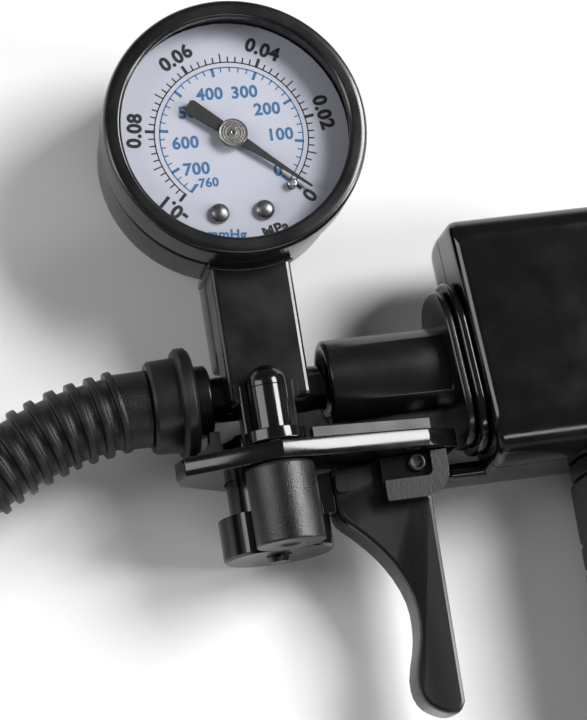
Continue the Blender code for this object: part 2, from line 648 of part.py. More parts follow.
def build_dial():
    centre = (GAUGE_X, GAUGE_Y)
    dial_radius = CASE_RADIUS - CASE_WALL - GAP
    dial = turned("dial_plate", ring_profile(DIAL_Z, DIAL_FRONT_Z, ARBOR_RADIUS + RUNNING * 4,
                  dial_radius), centre, "Z", "dial white", 48, True)
    movement_back = DIAL_Z - 5.0 * MM
    movement = prism("movement_plate", rounded_box(
        GAUGE_X - 9.0 * MM, GAUGE_X + 9.0 * MM, GAUGE_Y - MOVEMENT_REACH, GAUGE_Y + 6.0 * MM,
        3.0 * MM, 3),
        movement_back, movement_back + 1.6 * MM, "Z", "brass")
    hole([movement], "cut_arbor", centre, "Z", movement_back - CUT_OVER,
         movement_back + 1.6 * MM + CUT_OVER, ARBOR_RADIUS + RUNNING)
    for number, degrees in ((1, -107.5), (2, -75.5)):
        place_xy = on_gauge(DIAL_SCREW_RADIUS, degrees)
        name = f"dial_screw_{number}"
        head = DIAL_FRONT_Z + GAP
        turned(name, [
            (head + 1.0 * MM, 0), (head + 1.0 * MM, 1.3 * MM), (head + 0.5 * MM, 1.95 * MM),
            (head, 1.95 * MM), (head, 0.8 * MM), (movement_back + 0.4 * MM, 0.8 * MM),
            (movement_back + 0.4 * MM, 0),
        ], place_xy, "Z", "steel", SMALL_ROUND)
        hole([dial], "cut_dial_" + name, place_xy, "Z", DIAL_Z - CUT_OVER / 2,
             DIAL_FRONT_Z + CUT_OVER / 2, 0.8 * MM + GAP, 12)
        hole([movement], "cut_" + name, place_xy, "Z", movement_back - CUT_OVER,
             movement_back + 1.6 * MM + CUT_OVER, 0.8 * MM + GAP, 12)
    build_stop_pin(dial)
    build_movement(movement_back)


def build_stop_pin(dial):
    """Small pin that the pointer rests against at zero."""
    place_xy = on_gauge(STOP_PIN_RADIUS, POINTER_REST_DEG - 6.5)
    head = DIAL_FRONT_Z + 1.6 * MM
    turned("stop_pin", rod_profile(DIAL_Z - 0.8 * MM, head, 0.65 * MM, 0.15 * MM), place_xy, "Z",
           "steel", 12)
    hole([dial], "cut_stop_pin", place_xy, "Z", DIAL_Z - CUT_OVER / 2,
         DIAL_FRONT_Z + CUT_OVER / 2, 0.65 * MM + GAP, 12)


def build_movement(movement_back):
    """Socket in the case's foot, the curved tube that straightens with pressure, and its tip link."""
    stem_foot = HOSE_Y + MANIFOLD_RADIUS + 2.4 * MM
    block_y = NECK_TOP_Y + CASE_WALL + 1.2 * MM
    socket = turned("gauge_socket", [
        (stem_foot, MANIFOLD_BORE), (stem_foot, STEM_RADIUS), (block_y + 5.0 * MM, STEM_RADIUS),
        (block_y + 5.0 * MM, MANIFOLD_BORE),
    ], (GAUGE_X, HOSE_Z), "Y", "brass", SMALL_ROUND, True)
    socket_block = prism("join_socket", rounded_box(GAUGE_X - 6.0 * MM, GAUGE_X + 6.0 * MM,
                         HOSE_Z - 4.5 * MM, HOSE_Z + 4.2 * MM, 1.0 * MM, 2),
                         block_y, block_y + 7.0 * MM, "Y")
    join(socket, socket_block)
    tube_z = HOSE_Z - 0.8 * MM
    points = []
    steps = 26
    for i in range(steps + 1):
        degrees = -62.0 + 232.0 * i / steps
        points.append((*on_gauge(BOURDON_RADIUS, degrees), tube_z))
    tube_along("bourdon_tube", points, BOURDON_TUBE, "brass")
    tip = on_gauge(BOURDON_RADIUS, 178.0)
    prism("movement_link", rounded_box(tip[0] - 0.9 * MM, GAUGE_X - 2.0 * MM,
          GAUGE_Y - 0.9 * MM, GAUGE_Y + 0.9 * MM, 0.8 * MM, 3),
          tube_z + BOURDON_TUBE - 0.6 * MM, tube_z + BOURDON_TUBE + 0.4 * MM, "Z", "brass")


def build_pointer():
    centre = (GAUGE_X, GAUGE_Y)
    low = DIAL_FRONT_Z + 1.0 * MM
    high = low + POINTER_THICKNESS
    needle = [
        (POINTER_LENGTH, -0.15), (POINTER_LENGTH, 0.15), (9.0 * MM, 0.5), (2.0 * MM, 0.95),
        (-2.0 * MM, 0.95), (-3.2 * MM, 1.2), (0.6 * MM - POINTER_TAIL, 1.45),
        (-POINTER_TAIL, 1.0), (-POINTER_TAIL, -1.0), (0.6 * MM - POINTER_TAIL, -1.45),
        (-3.2 * MM, -1.2), (-2.0 * MM, -0.95), (2.0 * MM, -0.95), (9.0 * MM, -0.5),
    ]
    angle = math.radians(POINTER_REST_DEG)
    outline = []
    for along, across_mm in needle:
        across = across_mm * MM
        outline.append((
            centre[0] + along * math.cos(angle) - across * math.sin(angle),
            centre[1] + along * math.sin(angle) + across * math.cos(angle),
        ))
    pointer = prism("pointer", outline, low, high, "Z", "gloss black")
    hub_top = high + 0.9 * MM
    hub = turned("pointer_hub", [
        (hub_top - 0.3 * MM, 0), (hub_top - 0.3 * MM, 0.7 * MM), (hub_top, 0.9 * MM),
        (hub_top, HUB_RADIUS - 0.3 * MM), (hub_top - 0.3 * MM, HUB_RADIUS), (high + GAP / 2, HUB_RADIUS),
        (high + GAP / 2, ARBOR_RADIUS), (DIAL_Z - 9.0 * MM, ARBOR_RADIUS), (DIAL_Z - 9.0 * MM, 0),
    ], centre, "Z", "steel", SMALL_ROUND)
    hole([pointer], "cut_pointer_eye", centre, "Z", low - CUT_OVER / 2, high + CUT_OVER / 2,
         ARBOR_RADIUS + RUNNING, 12)
    pinion_low = DIAL_Z - 8.0 * MM
    pinion = turned("join_pinion", rod_profile(pinion_low, pinion_low + 1.6 * MM, 1.8 * MM), centre,
                    "Z", "brass", SMALL_ROUND)
    join(hub, pinion)


# ---- Neck, manifold and hose fitting ----------------------------------------------------------
def neck_outline(foot_y):
    """Neck skin (x, y): straight sides and a top hollowed to sit against the gauge case."""
    half = NECK_WIDTH / 2
    seat = CASE_RADIUS + GAP
    spread = math.degrees(math.asin(half / seat))
    arc = []
    for step in range(9):
        arc.append(on_gauge(seat, -90 - spread + spread * step / 4))
    return [(GAUGE_X + half, foot_y), (GAUGE_X - half, foot_y), *arc]


def build_neck():
    seam = HOSE_Z
    front = prism("neck_front", neck_outline(NECK_FOOT_Y), seam + GAP / 2, NECK_FRONT_Z, "Z",
                  "gloss black")
    rear = prism("neck_rear", neck_outline(NECK_FOOT_Y + NECK_REAR_FOOT), NECK_BACK_Z,
                 seam - GAP / 2, "Z", "gloss black")
    for skin in (front, rear):
        bevel(skin, 1.0 * MM, 3, 60)
    hole([front, rear], "cut_neck_channel", (GAUGE_X, HOSE_Z), "Y", HOSE_Y, GAUGE_Y,
         STEM_RADIUS + GAP)
    half = NECK_WIDTH / 2 + CUT_OVER
    hole([front, rear], "cut_manifold", (HOSE_Y, HOSE_Z), "X", GAUGE_X - half, GAUGE_X + half,
         MANIFOLD_RADIUS + GAP)
    recess = turned("cut_arch", dome_profile(DOME_RADIUS + 0.6 * MM, 0.6 * MM), (PUMP_X, KNOB_Z),
                    "Y", "satin black", ROUND)
    cut(front, recess)


def dome_profile(radius, rise):
    """Upright rod with a half-round top, from the plate to the dome's height plus `rise`."""
    foot = PLATE_TOP_Y + GAP
    shoulder = PLATE_TOP_Y + DOME_HEIGHT + rise - radius
    profile = [(foot, 0), (foot, radius)]
    for step in range(6):
        angle = math.radians(90 * step / 6)
        profile.append((shoulder + radius * math.sin(angle), radius * math.cos(angle)))
    profile.append((shoulder + radius, 0))
    return profile


def build_manifold():
    left = PUMP_X - MANIFOLD_LENGTH / 2 + 1.8 * MM
    right = BARREL_LEFT_X - GAP
    manifold = turned("manifold", rod_profile(left, right, MANIFOLD_RADIUS), (HOSE_Y, HOSE_Z), "X",
                      "satin black", ROUND)
    boss_top = HOSE_Y + MANIFOLD_RADIUS + 2.1 * MM
    up = turned("join_gauge_boss", rod_profile(HOSE_Y, boss_top, STEM_RADIUS), (GAUGE_X, HOSE_Z),
                "Y", "satin black", SMALL_ROUND)
    join(manifold, up)
    down = turned("join_pump_boss", rod_profile(HOSE_Y, CYLINDER_TOP_Y + GAP, STEM_RADIUS),
                  (PUMP_X, PUMP_Z + 0.5 * MM), "Y", "satin black", SMALL_ROUND)
    join(manifold, down)
    hole([manifold], "cut_manifold_bore", (HOSE_Y, HOSE_Z), "X", left - CUT_OVER, right + CUT_OVER,
         MANIFOLD_BORE)
    hole([manifold], "cut_gauge_bore", (GAUGE_X, HOSE_Z), "Y", HOSE_Y,
         boss_top + CUT_OVER, MANIFOLD_BORE - 0.3 * MM)
    hole([manifold], "cut_pump_bore", (PUMP_X, PUMP_Z + 1.5 * MM), "Y", CYLINDER_TOP_Y - CUT_OVER,
         HOSE_Y, MANIFOLD_BORE - 0.4 * MM)


def build_hose_fitting():
    centre = (HOSE_Y, HOSE_Z)
    ring_right = PUMP_X - MANIFOLD_LENGTH / 2 + 1.8 * MM - GAP
    ring_left = ring_right - BARB_RING_WIDTH
    barb_left = NUT_LEFT_X + 1.6 * MM
    pitch = (ring_left - barb_left) / 3
    profile = [(ring_right, MANIFOLD_BORE), (ring_right, BARB_RING_RADIUS - 0.4 * MM),
               (ring_right - 0.4 * MM, BARB_RING_RADIUS), (ring_left, BARB_RING_RADIUS)]
    for tooth in range(3):
        start = ring_left - tooth * pitch
        profile += [(start - GAP / 2, BARB_RADIUS), (start - pitch, BARB_RADIUS - 0.8 * MM)]
    profile.append((barb_left, MANIFOLD_BORE))
    turned("hose_barb", profile, centre, "X", "satin black", ROUND, True)
    rim_left = NUT_RIGHT_X - NUT_RIM_WIDTH
    bore = BARB_RADIUS + GAP
    turned("hose_nut", [
        (NUT_RIGHT_X, bore), (NUT_RIGHT_X, NUT_RADIUS - 0.7 * MM),
        (NUT_RIGHT_X - 0.7 * MM, NUT_RADIUS), (rim_left + 0.5 * MM, NUT_RADIUS),
        (rim_left, NUT_RADIUS - 0.5 * MM), (rim_left, NUT_SKIRT_RADIUS),
        (NUT_LEFT_X + 0.5 * MM, NUT_SKIRT_RADIUS), (NUT_LEFT_X, NUT_SKIRT_RADIUS - 0.5 * MM),
        (NUT_LEFT_X, bore),
    ], centre, "X", "grained black", ROUND, True)


def build_hose():
    cuff_right = NUT_LEFT_X - GAP
    turned("hose_cuff", rod_profile(cuff_right - CUFF_LENGTH, cuff_right, CUFF_RADIUS, 0.3 * MM),
           (HOSE_Y, HOSE_Z), "X", "rubber")
    route = [tuple(c * MM for c in point) for point in through(HOSE_ROUTE, HOSE_POINT_STEPS)]
    tube_along("hose_tube", route, HOSE_DIAMETER / 2, "rubber", 3)
    end = route[-1]
    start_x = end[0] + GAP
    turned("hose_connector", [
        (start_x, 0), (start_x, 7.9 * MM), (start_x + 9.0 * MM, 7.9 * MM),
        (start_x + 10.0 * MM, 6.4 * MM), (start_x + 16.0 * MM, 6.0 * MM),
        (start_x + 16.0 * MM, 5.0 * MM), (start_x + 26.0 * MM, 4.0 * MM),
        (start_x + 26.0 * MM, 2.2 * MM), (start_x + 14.0 * MM, 2.2 * MM), (start_x + 14.0 * MM, 0),
    ], (end[1], end[2]), "X", "satin black", 28)


# ---- Plate and release valve ------------------------------------------------------------------
def plate_outline():
    """Boat-shaped plate (x, z): widest at the pump's column and narrower towards both ends."""
    x = PUMP_X
    front = KNOB_Z + DOME_FLANGE_RADIUS + 0.3 * MM
    left, right = x - 17.7 * MM, x + 36.0 * MM
    return [
        (left, front - 6.8 * MM), (x, front), (right - 6.0 * MM, front - 7.4 * MM),
        (right, front - 11.5 * MM), (right, 11.0 * MM), (right - 8.0 * MM, 6.0 * MM),
        (x + 9.0 * MM, 0.0), (x - 3.0 * MM, 0.0), (left, front - 17.4 * MM),
        (left - 1.2 * MM, front - 12.0 * MM),
    ]


def build_plate():
    plate = prism("body_plate", plate_outline(), PLATE_FOOT_Y, PLATE_TOP_Y, "Y", "gloss black")
    bevel(plate, 0.3 * MM, 2, 20)
    deck_front = KNOB_Z + DOME_FLANGE_RADIUS - 4.0 * MM
    deck = prism("join_deck", [
        (PUMP_X + 7.0 * MM, deck_front), (PUMP_X + 31.0 * MM, deck_front - 5.5 * MM),
        (PUMP_X + 31.0 * MM, deck_front - 8.5 * MM), (PUMP_X + 7.0 * MM, deck_front - 3.0 * MM),
    ], PLATE_TOP_Y - 1.0 * MM, PLATE_TOP_Y + DECK_HEIGHT, "Y")
    join(plate, deck)
    gusset = prism("join_gusset", [
        (PUMP_X - 14.0 * MM, PLATE_TOP_Y - 1.0 * MM), (PUMP_X - 14.0 * MM, PLATE_TOP_Y + 1.6 * MM),
        (PUMP_X - 12.2 * MM, PLATE_TOP_Y + 2.2 * MM), (PUMP_X - 11.4 * MM, PLATE_TOP_Y + 3.4 * MM),
        (PUMP_X - 11.2 * MM, PLATE_TOP_Y + 5.4 * MM), (PUMP_X - 9.2 * MM, PLATE_TOP_Y + 5.4 * MM),
        (PUMP_X - 9.2 * MM, PLATE_TOP_Y - 1.0 * MM),
    ], 18.5 * MM, 21.5 * MM, "Z")
    join(plate, gusset)
    through_y = (PLATE_FOOT_Y - CUT_OVER, PLATE_TOP_Y + DECK_HEIGHT + CUT_OVER)
    hole([plate], "cut_cylinder_seat", (PUMP_X, PUMP_Z), "Y", *through_y, CYLINDER_RADIUS + GAP,
         ROUND)
    hole([plate], "cut_release_seat", (PUMP_X, KNOB_Z), "Y", *through_y,
         RELEASE_STEM_RADIUS + RUNNING)
    reach = TRIGGER_HUB_RADIUS + 0.7 * MM
    slot = prism("cut_trigger_slot", rounded_box(
        PIVOT_X - reach - 2.1 * MM, PIVOT_X + reach, TRIGGER_BACK_Z - EAR_GAP,
        TRIGGER_FRONT_Z + EAR_GAP, 0.8 * MM, 2), *through_y, "Y")
    cut(plate, slot)


def build_release_valve():
    centre = (PUMP_X, KNOB_Z)
    foot = KNOB_TOP_Y - KNOB_LENGTH
    knob = turned("release_knob", [
        (foot, 0), (foot, 3.0 * MM), (foot + 0.5 * MM, 3.3 * MM), (foot + 0.5 * MM, 4.6 * MM),
        (foot, 4.9 * MM), (foot, KNOB_RADIUS - 0.5 * MM), (foot + 0.5 * MM, KNOB_RADIUS),
        (KNOB_TOP_Y, KNOB_RADIUS), (KNOB_TOP_Y, 0),
    ], centre, "Y", "grained black")
    stem_top = PLATE_TOP_Y + 9.0 * MM
    stem_foot = KNOB_TOP_Y - 6.0 * MM
    hole([knob], "cut_knob_socket", centre, "Y", stem_foot - GAP, KNOB_TOP_Y + CUT_OVER,
         RELEASE_STEM_RADIUS + RUNNING)
    turned("release_stem", [
        (stem_foot, 0), (stem_foot, RELEASE_STEM_RADIUS), (stem_top - 3.0 * MM, RELEASE_STEM_RADIUS),
        (stem_top, 0.4 * MM), (stem_top, 0),
    ], centre, "Y", "steel", SMALL_ROUND)
    dome = turned("release_dome", dome_profile(DOME_RADIUS, 0.0), centre, "Y", "gloss black")
    hole([dome], "cut_dome_bore", centre, "Y", PLATE_TOP_Y - CUT_OVER, stem_top + 1.0 * MM,
         RELEASE_STEM_RADIUS + 0.5 * MM)
    flange_foot = PLATE_TOP_Y + GAP
    turned("dome_flange", [
        (flange_foot, DOME_RADIUS + RUNNING), (flange_foot, DOME_FLANGE_RADIUS),
        (flange_foot + DOME_FLANGE_HEIGHT - 0.3 * MM, DOME_FLANGE_RADIUS),
        (flange_foot + DOME_FLANGE_HEIGHT, DOME_FLANGE_RADIUS - 0.3 * MM),
        (flange_foot + DOME_FLANGE_HEIGHT, DOME_RADIUS + RUNNING),
    ], centre, "Y", "gloss black", ROUND, True)
    build_valve_column()


def build_valve_column():
    """Column behind the dome, with a wider pad that lies on the neck's front."""
    half = COLUMN_WIDTH / 2
    foot = PLATE_TOP_Y + GAP
    neck_clear = NECK_FOOT_Y - GAP
    pad_back = NECK_FRONT_Z + GAP
    pad_front = KNOB_Z - 1.2 * MM
    back = PUMP_Z + CYLINDER_RADIUS + GAP
    column = prism("valve_column", [
        (foot, back), (neck_clear, back), (neck_clear, pad_back), (PLATE_TOP_Y + 12.6 * MM, pad_back),
        (PLATE_TOP_Y + 12.6 * MM, pad_front), (foot, pad_front),
    ], PUMP_X - half, PUMP_X + half, "X", "satin black")
    bevel(column, 0.3 * MM, 1, 60)
    pad = prism("join_pad", rounded_box(PUMP_X - half - 1.0 * MM, PUMP_X + half + 1.0 * MM,
                PLATE_TOP_Y + 9.2 * MM, PLATE_TOP_Y + 13.0 * MM, 0.6 * MM, 2),
                pad_back, pad_front - 0.2 * MM, "Z")
    join(column, pad)
    low = PLATE_TOP_Y - CUT_OVER
    hole([column], "cut_dome_channel", (PUMP_X, KNOB_Z), "Y", low,
         PLATE_TOP_Y + DOME_HEIGHT + CUT_OVER, DOME_RADIUS + GAP, ROUND)
    hole([column], "cut_flange_room", (PUMP_X, KNOB_Z), "Y", low,
         PLATE_TOP_Y + DOME_FLANGE_HEIGHT + 2 * GAP, DOME_FLANGE_RADIUS + GAP, ROUND)


# ---- Pump -------------------------------------------------------------------------------------
def build_cylinder():
    top = CYLINDER_TOP_Y
    head = top - 2.0 * MM
    turned("pump_cylinder", [
        (top, MANIFOLD_BORE), (top, CYLINDER_RADIUS - 1.0 * MM), (top - 1.0 * MM, CYLINDER_RADIUS),
        (CYLINDER_FOOT_Y, CYLINDER_RADIUS), (CYLINDER_FOOT_Y, CYLINDER_BORE),
        (head, CYLINDER_BORE), (head, MANIFOLD_BORE),
    ], (PUMP_X, PUMP_Z), "Y", "gloss black", ROUND, True)
    valve_top = head - GAP
    turned("intake_valve_disc", rod_profile(valve_top - 0.8 * MM, valve_top, VALVE_RADIUS, 0.2 * MM),
           (PUMP_X, PUMP_Z), "Y", "rubber", SMALL_ROUND)
    return valve_top - 0.8 * MM - VALVE_LIFT - GAP


def build_piston(piston_top):
    centre = (PUMP_X, PUMP_Z)
    piston_foot = piston_top - PISTON_LENGTH
    outer = CYLINDER_BORE - RUNNING
    groove = piston_top - PISTON_LENGTH / 2
    turned("piston", [
        (piston_top, 0), (piston_top, outer), (groove + 0.8 * MM, outer),
        (groove + 0.8 * MM, outer - 1.2 * MM), (groove - 0.8 * MM, outer - 1.2 * MM),
        (groove - 0.8 * MM, outer), (piston_foot, outer), (piston_foot, 0),
    ], centre, "Y", "ivory plastic")
    turned("piston_seal", ring_profile(groove - 0.6 * MM, groove + 0.6 * MM, outer - 1.0 * MM,
           CYLINDER_BORE - 0.05 * MM), centre, "Y", "rubber", ROUND, True)
    floor_top = CUP_FOOT_Y + CUP_FLOOR
    turned("piston_rod", rod_profile(floor_top + GAP, piston_foot - GAP, ROD_RADIUS, 0.2 * MM),
           centre, "Y", "steel", SMALL_ROUND)
    coil("return_spring", centre, "Y", floor_top + GAP, piston_foot - GAP, 3.6 * MM, SPRING_TURNS)


def build_cup():
    """Crosshead cup that slides over the pump cylinder's foot, open in front round the knob."""
    centre = (PUMP_X, PUMP_Z)
    floor_top = CUP_FOOT_Y + CUP_FLOOR
    cup = turned("piston_cup", [
        (CUP_FOOT_Y, 0), (CUP_FOOT_Y, CUP_RADIUS - 0.5 * MM), (CUP_FOOT_Y + 0.5 * MM, CUP_RADIUS),
        (CUP_TOP_Y, CUP_RADIUS), (CUP_TOP_Y, CUP_BORE), (floor_top, CUP_BORE), (floor_top, 0),
    ], centre, "Y", "gloss black")
    ear_left, ear_right = PUMP_X + CUP_BORE, PUMP_X + CUP_RADIUS - 0.1 * MM
    ear = prism("join_ear", [
        (ear_left, CUP_TOP_Y - 2.0 * MM), (ear_right, CUP_TOP_Y - 2.0 * MM),
        (ear_right, CUP_TOP_Y + 1.8 * MM), (ear_left, CUP_TOP_Y + 1.8 * MM),
    ], TRIGGER_BACK_Z - 1.0 * MM, NOTCH_Z - GAP, "Z")
    join(cup, ear)
    guide = prism("join_guide", rounded([
        (ear_left, CUP_TOP_Y - 2.0 * MM, 0), (ear_right + 0.5 * MM, CUP_TOP_Y - 2.0 * MM, 0),
        (ear_right + 0.5 * MM, CUP_TOP_Y + 5.6 * MM, 0.4 * MM),
        (ear_left, CUP_TOP_Y + 5.6 * MM, 0.4 * MM),
    ], 2), NOTCH_Z + GAP, NOTCH_Z + 2.6 * MM, "Z")
    join(cup, guide)
    hole([cup], "cut_ear_bore", centre, "Y", floor_top + 0.2 * MM, CUP_TOP_Y + 7.0 * MM, CUP_BORE,
         ROUND)
    half = KNOB_RADIUS + 0.5 * MM
    slot = prism("cut_knob_slot", [
        (PUMP_X - half, KNOB_Z - KNOB_RADIUS - 0.4 * MM),
        (PUMP_X + half, KNOB_Z - KNOB_RADIUS - 0.4 * MM),
        (PUMP_X + half, KNOB_Z), (PUMP_X - half, KNOB_Z),
    ], CUP_FOOT_Y - CUT_OVER, CUP_TOP_Y + CUT_OVER, "Y")
    cut(cup, slot)
    head_y = CUP_FOOT_Y - 1.1 * MM
    turned("cup_screw", [
        (head_y, 0), (head_y, 2.0 * MM), (head_y + 0.8 * MM, 2.6 * MM), (head_y + 0.8 * MM, 1.0 * MM),
        (floor_top, 1.0 * MM), (floor_top, 0),
    ], centre, "Y", "satin black", SMALL_ROUND)
    hole([cup], "cut_cup_screw", centre, "Y", CUP_FOOT_Y - CUT_OVER, floor_top + 1.0 * MM,
         1.0 * MM + RUNNING)


# ---- Trigger ----------------------------------------------------------------------------------
BESIDE_CUP = (PUMP_X + CUP_RADIUS) / MM

# Lower edge of the finger blade (x, y) in millimetres, from the nose beside the cup to the tip.
TRIGGER_BLADE = [
    (BESIDE_CUP + 0.5, -11.6), (BESIDE_CUP + 1.3, -14.6), (-18.6, -18.2), (-14.1, -23.8),
    (-11.0, -31.0), (-10.9, -38.4), (-12.9, -46.0), (-12.2, -50.8), (-9.2, -53.4),
    (-6.0, -54.0), (-4.4, -52.0),
]


def trigger_outline():
    """Side view (x, y) of the trigger: nose over the cup's ear, hub round the pin, finger blade."""
    blade = [(x * MM, y * MM) for x, y in through(TRIGGER_BLADE, 3)]
    nose_left = PUMP_X + CYLINDER_RADIUS + 0.45 * MM
    nose_foot = CUP_TOP_Y + 1.8 * MM + 0.4 * MM
    nose_top = PLATE_FOOT_Y - 1.0 * MM
    hub = []
    for step in range(9):
        angle = math.radians(-8 + 158 * step / 8)
        hub.append((PIVOT_X + TRIGGER_HUB_RADIUS * math.cos(angle),
                    PIVOT_Y + TRIGGER_HUB_RADIUS * math.sin(angle)))
    right_edge = [(-4.2 * MM, -30.0 * MM), (-4.1 * MM, -13.0 * MM)]
    nose = [(nose_left, nose_top), (nose_left, nose_foot), ((BESIDE_CUP + 0.5) * MM, nose_foot)]
    return blade + right_edge + hub + nose


def ear_outline():
    top = PLATE_FOOT_Y - GAP
    return rounded([
        (EAR_LEFT_X, top, 0), (EAR_LEFT_X, EAR_FOOT_Y, 0.4 * MM),
        (EAR_RIGHT_X, EAR_FOOT_Y, 5.0 * MM), (EAR_RIGHT_X, top, 0),
    ])


def build_trigger():
    trigger = prism("trigger", trigger_outline(), TRIGGER_BACK_Z, TRIGGER_FRONT_Z, "Z",
                    "satin black")
    bevel(trigger, 0.8 * MM, 2, 60)
    lug_left = PUMP_X + CUP_RADIUS + 0.9 * MM
    lug = prism("join_lug", rounded_box(lug_left, lug_left + 3.1 * MM, -9.3 * MM, -5.8 * MM,
                0.9 * MM, 3), TRIGGER_FRONT_Z - 1.0 * MM, TRIGGER_FRONT_Z + 1.0 * MM, "Z")
    join(trigger, lug)
    notch = prism("cut_ear_notch", [
        (lug_left - 8.0 * MM, -20.0 * MM), (lug_left - 0.3 * MM, -20.0 * MM),
        (lug_left - 0.3 * MM, 0), (lug_left - 8.0 * MM, 0),
    ], NOTCH_Z, TRIGGER_FRONT_Z + 4.0 * MM, "Z")
    cut(trigger, notch)
    low = BEHIND_TRIGGER_Z
    high = BEFORE_TRIGGER_Z + EAR_THICKNESS
    front_ear = prism("trigger_bracket_front", ear_outline(), BEFORE_TRIGGER_Z, high, "Z",
                      "grained black")
    rear_ear = prism("trigger_bracket_rear", ear_outline(), low, low + EAR_THICKNESS, "Z",
                     "grained black")
    rim = prism("join_rim", rounded([
        (EAR_LEFT_X, PIVOT_Y - 3.0 * MM, 0.3 * MM), (EAR_LEFT_X, EAR_FOOT_Y, 0.4 * MM),
        (EAR_RIGHT_X, EAR_FOOT_Y, 5.0 * MM), (EAR_RIGHT_X, PLATE_FOOT_Y - GAP, 0),
        (PIVOT_X + 2.6 * MM, PLATE_FOOT_Y - GAP, 0), (PIVOT_X + 2.6 * MM, PIVOT_Y - 3.0 * MM, 1.2 * MM),
    ]), high - 0.5 * MM, high + EAR_THICKNESS, "Z")
    join(front_ear, rim)
    pin_low = low - 1.0 * MM
    pin_high = high + 1.2 * MM
    turned("pivot_pin", [
        (pin_low, 0), (pin_low, PIN_RADIUS), (high + GAP, PIN_RADIUS), (high + GAP, PIN_HEAD_RADIUS),
        (pin_high - 0.3 * MM, PIN_HEAD_RADIUS), (pin_high, PIN_HEAD_RADIUS - 0.3 * MM),
        (pin_high, 1.0 * MM), (pin_high - 0.4 * MM, 0.8 * MM), (pin_high - 0.4 * MM, 0),
    ], (PIVOT_X, PIVOT_Y), "Z", "steel", SMALL_ROUND)
    hole([trigger, front_ear, rear_ear], "cut_pin", (PIVOT_X, PIVOT_Y), "Z", pin_low - CUT_OVER,
         high + 0.2 * MM, PIN_RADIUS + RUNNING)
    clip = ring_profile(low - 0.8 * MM, low - GAP, PIN_RADIUS + 0.05 * MM,
                        PIN_HEAD_RADIUS - 0.05 * MM)
    turned("pin_clip", clip, (PIVOT_X, PIVOT_Y), "Z", "steel", SMALL_ROUND, True)


def set_axis(names, point):
    """Put the origins of moving pieces on their joint's axis, with the pieces where they were."""
    for name in names:
        obj = bpy.data.objects[name]
        obj.data.transform(Matrix.Translation(point).inverted())
        obj.location = point


def set_axes():
    set_axis(["trigger"], (PIVOT_X, PIVOT_Y, 0.0))
    set_axis(["pointer", "pointer_hub"], (GAUGE_X, GAUGE_Y, 0.0))
    set_axis(["release_knob", "release_stem"], (PUMP_X, 0.0, KNOB_Z))
    crosshead = ["piston", "piston_seal", "piston_rod", "return_spring", "piston_cup", "cup_screw"]
    set_axis(crosshead + ["intake_valve_disc"], (PUMP_X, 0.0, PUMP_Z))
    set_axis(["exhaust_valve_disc", "exhaust_spring"], (0.0, BARREL_Y, HOSE_Z))


def build_pump():
    clear_scene()
    build_gauge_case()
    build_dial()
    build_pointer()
    build_neck()
    build_manifold()
    build_hose_fitting()
    build_hose()
    build_plate()
    build_release_valve()
    build_piston(build_cylinder())
    build_cup()
    build_trigger()
    build_barrel()
    build_housing()
    build_handle()
    set_axes()


build_pump()
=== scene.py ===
"""Looks of a pistol-shaped hand vacuum pump that lies on its back with its gauge facing up.

Every length is in metres, in the frame of the CAD model: +X from hose to handle, +Y from trigger
to gauge, +Z up. New surfaces are grids of points worked out with numpy from a profile, an outline
or a route, and each takes its place from the CAD node that it stands for.
"""

import logging
import math
from dataclasses import dataclass
from enum import Enum
from typing import Optional, Sequence

import bmesh
import bpy
import numpy as np
from mathutils import Matrix, Vector


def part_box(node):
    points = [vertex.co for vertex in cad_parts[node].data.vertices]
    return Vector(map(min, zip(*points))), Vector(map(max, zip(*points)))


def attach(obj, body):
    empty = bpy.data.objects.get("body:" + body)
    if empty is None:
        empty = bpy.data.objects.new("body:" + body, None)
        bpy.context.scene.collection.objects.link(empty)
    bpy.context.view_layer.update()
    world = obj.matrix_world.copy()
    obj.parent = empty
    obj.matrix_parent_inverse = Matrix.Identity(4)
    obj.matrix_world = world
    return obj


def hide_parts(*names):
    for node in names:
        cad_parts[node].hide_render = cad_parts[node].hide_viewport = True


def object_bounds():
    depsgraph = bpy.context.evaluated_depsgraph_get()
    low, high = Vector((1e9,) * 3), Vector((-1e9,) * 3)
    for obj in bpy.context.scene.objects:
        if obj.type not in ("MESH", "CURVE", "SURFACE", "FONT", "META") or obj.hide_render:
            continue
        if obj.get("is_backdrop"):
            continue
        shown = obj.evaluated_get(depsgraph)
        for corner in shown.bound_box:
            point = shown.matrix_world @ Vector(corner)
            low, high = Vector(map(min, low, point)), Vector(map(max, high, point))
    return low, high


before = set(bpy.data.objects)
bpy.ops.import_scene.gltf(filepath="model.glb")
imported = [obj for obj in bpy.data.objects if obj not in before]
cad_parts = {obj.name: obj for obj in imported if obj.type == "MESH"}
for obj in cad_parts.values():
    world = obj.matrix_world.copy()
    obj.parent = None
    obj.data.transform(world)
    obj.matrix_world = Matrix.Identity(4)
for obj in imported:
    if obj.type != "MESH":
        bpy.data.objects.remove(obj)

log = logging.getLogger("vacuum_pump")
CAD_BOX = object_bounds()
MM = 0.001
RAKE = math.tan(math.radians(3.5))    # lean of the housing's end and of the flanges on it
Pair = tuple[float, float]
Triple = tuple[float, float, float]
Surface = tuple[np.ndarray, list]


class Axis(Enum):
    """Row axis that a shape is turned about or pushed along."""

    X = 0
    Y = 1
    Z = 2

    def stack(self, along: np.ndarray, u: np.ndarray, v: np.ndarray) -> np.ndarray:
        """Points from a place along the axis and the other two coordinates in X, Y, Z order."""
        columns = {
            Axis.X: (along, u, v),
            Axis.Y: (u, along, v),
            Axis.Z: (u, v, along),
        }[self]
        return np.stack(np.broadcast_arrays(*columns), axis=-1)


